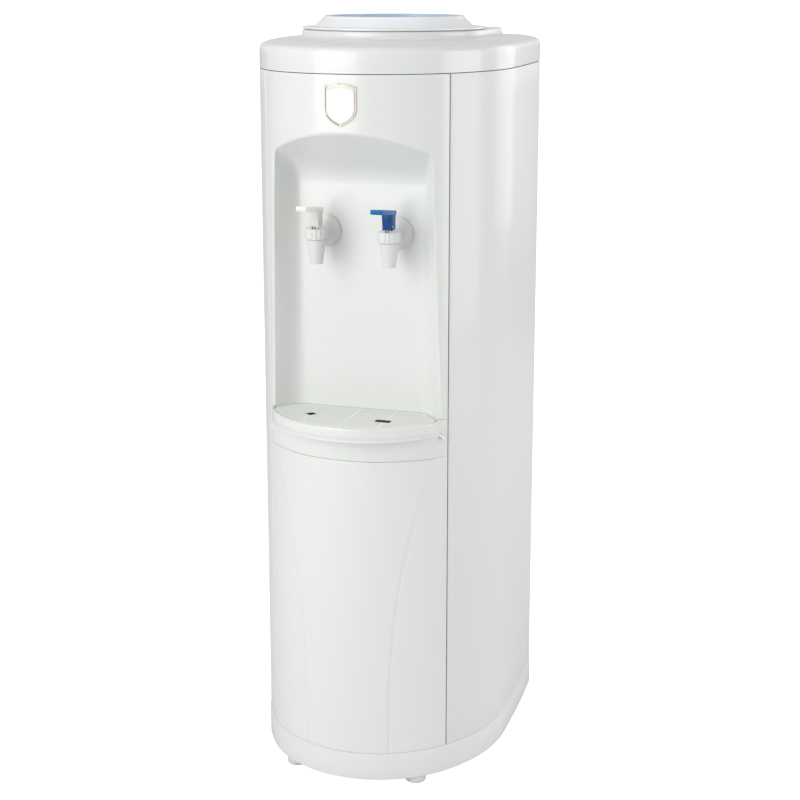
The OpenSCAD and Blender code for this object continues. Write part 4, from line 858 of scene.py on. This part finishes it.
def platform_plan(inset):
    """The raised platform's outline: round in front, straight sides and rounded rear corners."""
    r = PLATFORM_R - inset
    rear = PLATFORM_REAR - inset
    bend = PLATFORM_BEND - min(inset, 0) * 0.5
    right = []
    for k in range(31):
        a = math.radians(90 * k / 30)
        right.append((r * math.sin(a), RECEPTACLE_Y - r * math.cos(a)))
    right += [(r, RECEPTACLE_Y + (rear - bend - RECEPTACLE_Y) * k / 8) for k in range(1, 9)]
    for k in range(1, 11):
        a = math.radians(9 * k)
        right.append((r - bend + bend * math.cos(a), rear - bend + bend * math.sin(a)))
    right += [((r - bend) * (1 - k / 6), rear) for k in range(1, 7)]
    return right + [(-x, y) for x, y in reversed(right[1:-1])]


platform_rows = [(-6, 938.8), (-6, 940.6), (-3.6, 941.1), (-1.8, 942.0), (-0.6, 943.4),
                 (0, 945.2), (0, 948.0), (0.3, 949.0), (1.0, 949.7), (2.4, 950)]
platform = stack([level(platform_plan(i), z) for i, z in platform_rows]
                 + [hole_ring(platform_plan(0), z) for z in (950, 938.8)]
                 + [level(platform_plan(-6), 938.8)], closed=False)
finish_piece(together([cover, platform]), "top_cover_moulding", "cabinet", "front_plastic",
             ["top_cover"], front_white, recalc=True)

# Bottle receptacle and probe
# A clean white moulding dropped into the cover: flange, tapered ring that carries the bottle's
# shoulder, and a well whose pale blue hollow probe opens the bottle's cap.


def eased_line(marks, steps=5):
    """A profile whose corners are rounded: each mark is radius, height and corner radius."""
    out = []
    for k, (r, z, ease) in enumerate(marks):
        if not ease or k in (0, len(marks) - 1):
            out.append((r, z))
            continue
        here = Vector((r, z))
        back = Vector(marks[k - 1][:2]) - here
        on = Vector(marks[k + 1][:2]) - here
        half = back.angle(on) / 2
        cut = min(ease / math.tan(half), back.length * 0.49, on.length * 0.49)
        a = here + back.normalized() * cut
        b = here + on.normalized() * cut
        for n in range(steps + 1):
            t = n / steps
            p = a * (1 - t) ** 2 + here * 2 * t * (1 - t) + b * t * t
            out.append((p.x, p.y))
    return out


receptacle_white = moulded("receptacle_white", (0.90, 0.905, 0.915), 0.2, coat=0.4)
# Painted shade and reflection: a darker bluish grey for the inward faces of the white ring.
painted_inner_shade = moulded("painted_inner_shade", (0.56, 0.66, 0.80), 0.25, vary=0.03)
receptacle_line = eased_line([
    (19.5, 871.5, 0), (22, 871.5, 0), (22, 885.5, 1), (35.5, 885.5, 3), (35.5, 920, 4),
    (76.5, 936, 6), (88.5, 950.3, 0), (112.6, 950.3, 0), (113, 951.3, 0), (117, 951.3, 0.4),
    (117, 953.2, 0.9), (102, 953.6, 4), (91.4, 963.4, 3), (89.4, 966.6, 1.2), (87.6, 966.9, 0.8),
    (86, 966.2, 0.8), (86, 949.3, 2), (74, 938.5, 6), (33, 924, 4), (33, 888, 3),
    (19.5, 888, 0.8), (19.5, 871.5, 0)])
receptacle = turned(receptacle_line, (0, RECEPTACLE_Y, 0), 128)
# Faces inside the ring that look inwards and up take a bluish grey: painted shade and reflection of
# the ring's far inside
for face in receptacle.faces:
    spot = face.calc_center_median()
    reach = math.hypot(spot.x, spot.y - RECEPTACLE_Y)
    up_and_in = Vector((-spot.x, RECEPTACLE_Y - spot.y, 40)).normalized()
    if reach < 87 and face.normal.dot(up_and_in) > 0:
        face.material_index = 1
finish_piece(receptacle, "bottle_receptacle_ring", "receptacle", "receptacle_plastic",
             ["bottle_receptacle"], receptacle_white, painted_inner_shade, recalc=True)

probe_blue = moulded("probe_blue", (0.5, 0.66, 0.86), 0.2, coat=0.4)
shader_of(probe_blue).inputs["Transmission Weight"].default_value = 0.3
eased_copy("feed_probe", "feed_probe_spike", "receptacle", "probe_plastic", probe_blue, edge=0.3)

# Taps
# Two push taps of neutral white plastic. A bell flange closes each shank hole, the ribbed collar
# nut screws down on the valve chamber, and the lever turns on a pin in the collar's ears.

TAP_X, TAP_Y, TAP_Z, PIN_Y, PIN_Z = 47, -142, 708, -5.5, 14
EAR_X, EAR_T, EAR_R = 3.6, 1.2, 3
tap_white = moulded("tap_white", (0.75, 0.755, 0.745), 0.3, coat=0.3)


def circle(r, y, centre_z, count=48):
    """An upright ring of points round the tap's arm."""
    return [(r * math.sin(ROUND * k / count), y, centre_z + r * math.cos(ROUND * k / count))
            for k in range(count)]


def tap_body():
    """Valve chamber and spout in one turned body, the bell-shaped arm, shank and hose tail."""
    spout = turned(eased_line([
        (5.5, -20, 0), (5.5, -37, 0), (7.8, -37, 0.6), (12.1, -7.2, 0.8), (10.6, -6.4, 0),
        (10.6, 2.5, 0.5), (8.2, 2.5, 0), (8.2, -14, 0), (5.5, -20, 0)]), (0, 0, 0), 48)
    arm = stack([circle(r, y, z) for r, y, z in [
        (6.6, 3, -10.5), (6.8, 12, -10.4), (7.2, 15.5, -10.1), (8.2, 18.5, -9.2), (9.8, 21.5, -7.6),
        (11.8, 24.5, -5.7), (13.9, 27.4, -3.7), (16, 29.8, -1.9), (17.9, 31.4, -0.8),
        (19, 32.1, -0.2), (19.6, 32.7, 0), (19.7, 33.2, 0), (19.5, 33.9, 0), (18.5, 34, 0)]])
    bmesh.ops.recalc_face_normals(arm, faces=arm.faces)
    shank = stack([circle(8, y, 0, 32) for y in (33.9, 47.8)])
    tail = stack([circle(5, y, 0, 32) for y in (46.9, 55.9)])
    for part in (shank, tail):
        bmesh.ops.recalc_face_normals(part, faces=part.faces)
    return together([spout, arm, shank, tail])


def collar_ring(r, z, depth, ribs=16, each=8):
    """A ring of the collar: broad ribs with narrow grooves between them."""
    points = []
    for k in range(ribs * each):
        share = (k % each) / each
        groove = depth if share in (0.0, 0.125) else (depth * 0.5 if share in (0.25, 0.875) else 0)
        a = ROUND * (k + 0.5) / (ribs * each)
        points.append(((r - groove) * math.sin(a), -(r - groove) * math.cos(a), z))
    return points


def tap_collar():
    """The ribbed collar nut with the two ears that carry the lever's pin."""
    ring = stack([collar_ring(*row) for row in (
        (10.6, -5.9, 0), (13.9, -5.9, 0), (14.4, -5.4, 0.3), (14.6, -4.6, 0.8), (14.6, 5.4, 0.8),
        (14.3, 6.2, 0.5), (13.6, 6.9, 0), (2.1, 6.9, 0), (2.1, 4.0, 0), (10.55, 4.0, 0),
        (10.6, -5.9, 0))], closed=False)
    bmesh.ops.recalc_face_normals(ring, faces=ring.faces)
    turns = [math.radians(180 * k / 12) for k in range(13)]
    half = [(-EAR_R, 6), (EAR_R, 6)]
    half += [(EAR_R * math.cos(a), PIN_Z + EAR_R * math.sin(a)) for a in turns]
    ears = []
    for x in (-EAR_X, EAR_X):
        ear = bmesh.new()
        verts = [ear.verts.new((x - EAR_T / 2, PIN_Y + y, z)) for y, z in half]
        made = bmesh.ops.extrude_face_region(ear, geom=[ear.faces.new(verts)])
        grown = [v for v in made["geom"] if isinstance(v, bmesh.types.BMVert)]
        bmesh.ops.translate(ear, vec=(EAR_T, 0, 0), verts=grown)
        bmesh.ops.recalc_face_normals(ear, faces=ear.faces)
        ears.append(ear)
    return together([ring] + ears)


def block(low, high, ease=0.0, segments=2, taper=None):
    """A box between two corners with eased edges."""
    bm = bmesh.new()
    bmesh.ops.create_cube(bm, size=1)
    for v in bm.verts:
        v.co = [a + (b - a) * (c + 0.5) for a, b, c in zip(low, high, v.co)]
    if taper:
        taper(bm)
    if ease:
        bmesh.ops.bevel(bm, geom=list(bm.edges), offset=ease, segments=segments,
                        affect="EDGES", profile=0.5, material=-1)
    return bm


def tap_lever():
    """The lever: a rising paddle on a hollow post whose two cheeks straddle the collar's ears."""
    def rise(bm):
        for v in bm.verts:
            v.co.z += 8 * (7.5 - v.co.y) / 58.5

    def narrow(bm):
        for v in bm.verts:
            if v.co.z < 15:
                v.co.y += 2 if v.co.y < 0 else -2

    paddle = block((-7, -51, 26), (7, 7.5, 32), 0.9, 3, rise)
    post = [block((x, -11, 9), (x + 1.5, 7.5, 29), 0.45, 2, narrow) for x in (-6, 4.5)]
    post.append(block((-5.5, -11, 9.6), (5.5, -9.2, 30), 0.4, 2, narrow))
    post.append(block((-5.5, -10.5, 25.4), (5.5, 7.5, 29), 0.3))
    post += [block((x - 1, PIN_Y + 1.5, PIN_Z + 3.6), (x + 1, PIN_Y + 9, PIN_Z + 5), 0.2)
             for x in (-EAR_X, EAR_X)]
    for part in post:
        for face in part.faces:
            face.material_index = 1
    return together([paddle] + post)


def tinted(name, colour, clear, coat):
    """Coloured translucent plastic."""
    material = moulded(name, colour, 0.26, vary=0.05, bump=0.02, coat=coat)
    shader_of(material).inputs["Transmission Weight"].default_value = clear
    return material


blue_solid = tinted("blue_solid", (0.0, 0.14, 0.43), 0.0, 0.0)
blue_clear = tinted("blue_clear", (0.0, 0.09, 0.33), 0.35, 0.0)
ivory_solid = tinted("ivory_solid", (0.86, 0.86, 0.83), 0.0, 0.3)
ivory_clear = tinted("ivory_clear", (0.90, 0.86, 0.78), 0.15, 0.3)
for paint in (blue_solid, blue_clear):
    shader_of(paint).inputs["Specular IOR Level"].default_value = 0.25
TAPS = (("room", -1, ivory_solid, ivory_clear, "ivory_lever"),
        ("cold", 1, blue_solid, blue_clear, "blue_lever"))
for word, side, solid, clear, lever_slot in TAPS:
    for part, make, body, slot, paints in (
            ("body", tap_body, "cabinet", "tap_plastic", [tap_white]),
            ("collar", tap_collar, "cabinet", "tap_plastic", [tap_white]),
            ("lever", tap_lever, f"{word}_lever", lever_slot, [solid, clear])):
        bm = make()
        bmesh.ops.translate(bm, vec=(side * TAP_X, TAP_Y, TAP_Z), verts=bm.verts)
        finish_piece(bm, f"{word}_{part}_moulding", body, slot, [f"{word}_tap_{part}"], *paints,
                     weld=0.002)

# Pieces that keep their solids
# Inner and rear pieces whose solids already have the real shape get the finish of the real
# material: drawn copper, zinc plate, stove enamel, foam, silicone, stainless sheet and black and
# white plastic.

black_enamel = moulded("black_enamel", (0.012, 0.012, 0.013), 0.3, vary=0.3, coat=0.4)
black_plastic = moulded("black_plastic", (0.016, 0.016, 0.017), 0.5, vary=0.2, grain=1600,
                        bump=0.15)
copper = polished("copper", (0.72, 0.38, 0.24), 0.28, vary=0.25)
foam = moulded("foam", (0.78, 0.78, 0.77), 0.85, vary=0.05, grain=260, bump=0.6)
silicone = moulded("silicone", (0.66, 0.66, 0.63), 0.5)
stainless = polished("stainless", (0.55, 0.55, 0.54), 0.26)
cap_white = moulded("cap_white", (0.62, 0.62, 0.61), 0.45)

def of_taps(*parts):
    """The names of these pieces of both taps."""
    return [f"{word}_tap_{part}" for word in ("room", "cold") for part in parts]


kept = {
    silicone: ["receptacle_seal", "drain_tube"] + of_taps("stem", "gasket", "hose"),
    zinc: ["base_plate", "tank_deck", "compressor_bolts"] + of_taps("pin"),
    stainless: ["cold_tank"] + of_taps("spring"),
    tap_white: of_taps("nut"),
    foam: ["insulation_front", "insulation_rear"],
    cap_white: ["drain_cap", "baffle"],
    copper: ["evaporator_coil", "filter_drier", "refrigerant_lines"],
    black_enamel: ["compressor", "condenser", "condenser_brackets", "switch_rocker"],
    black_plastic: ["relay_cover", "compressor_grommets", "thermostat", "thermostat_knob",
                    "power_switch", "cord_gland"],
}
for material, names in kept.items():
    for name in names:
        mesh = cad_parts[name].data
        mesh.materials.clear()
        mesh.materials.append(material)
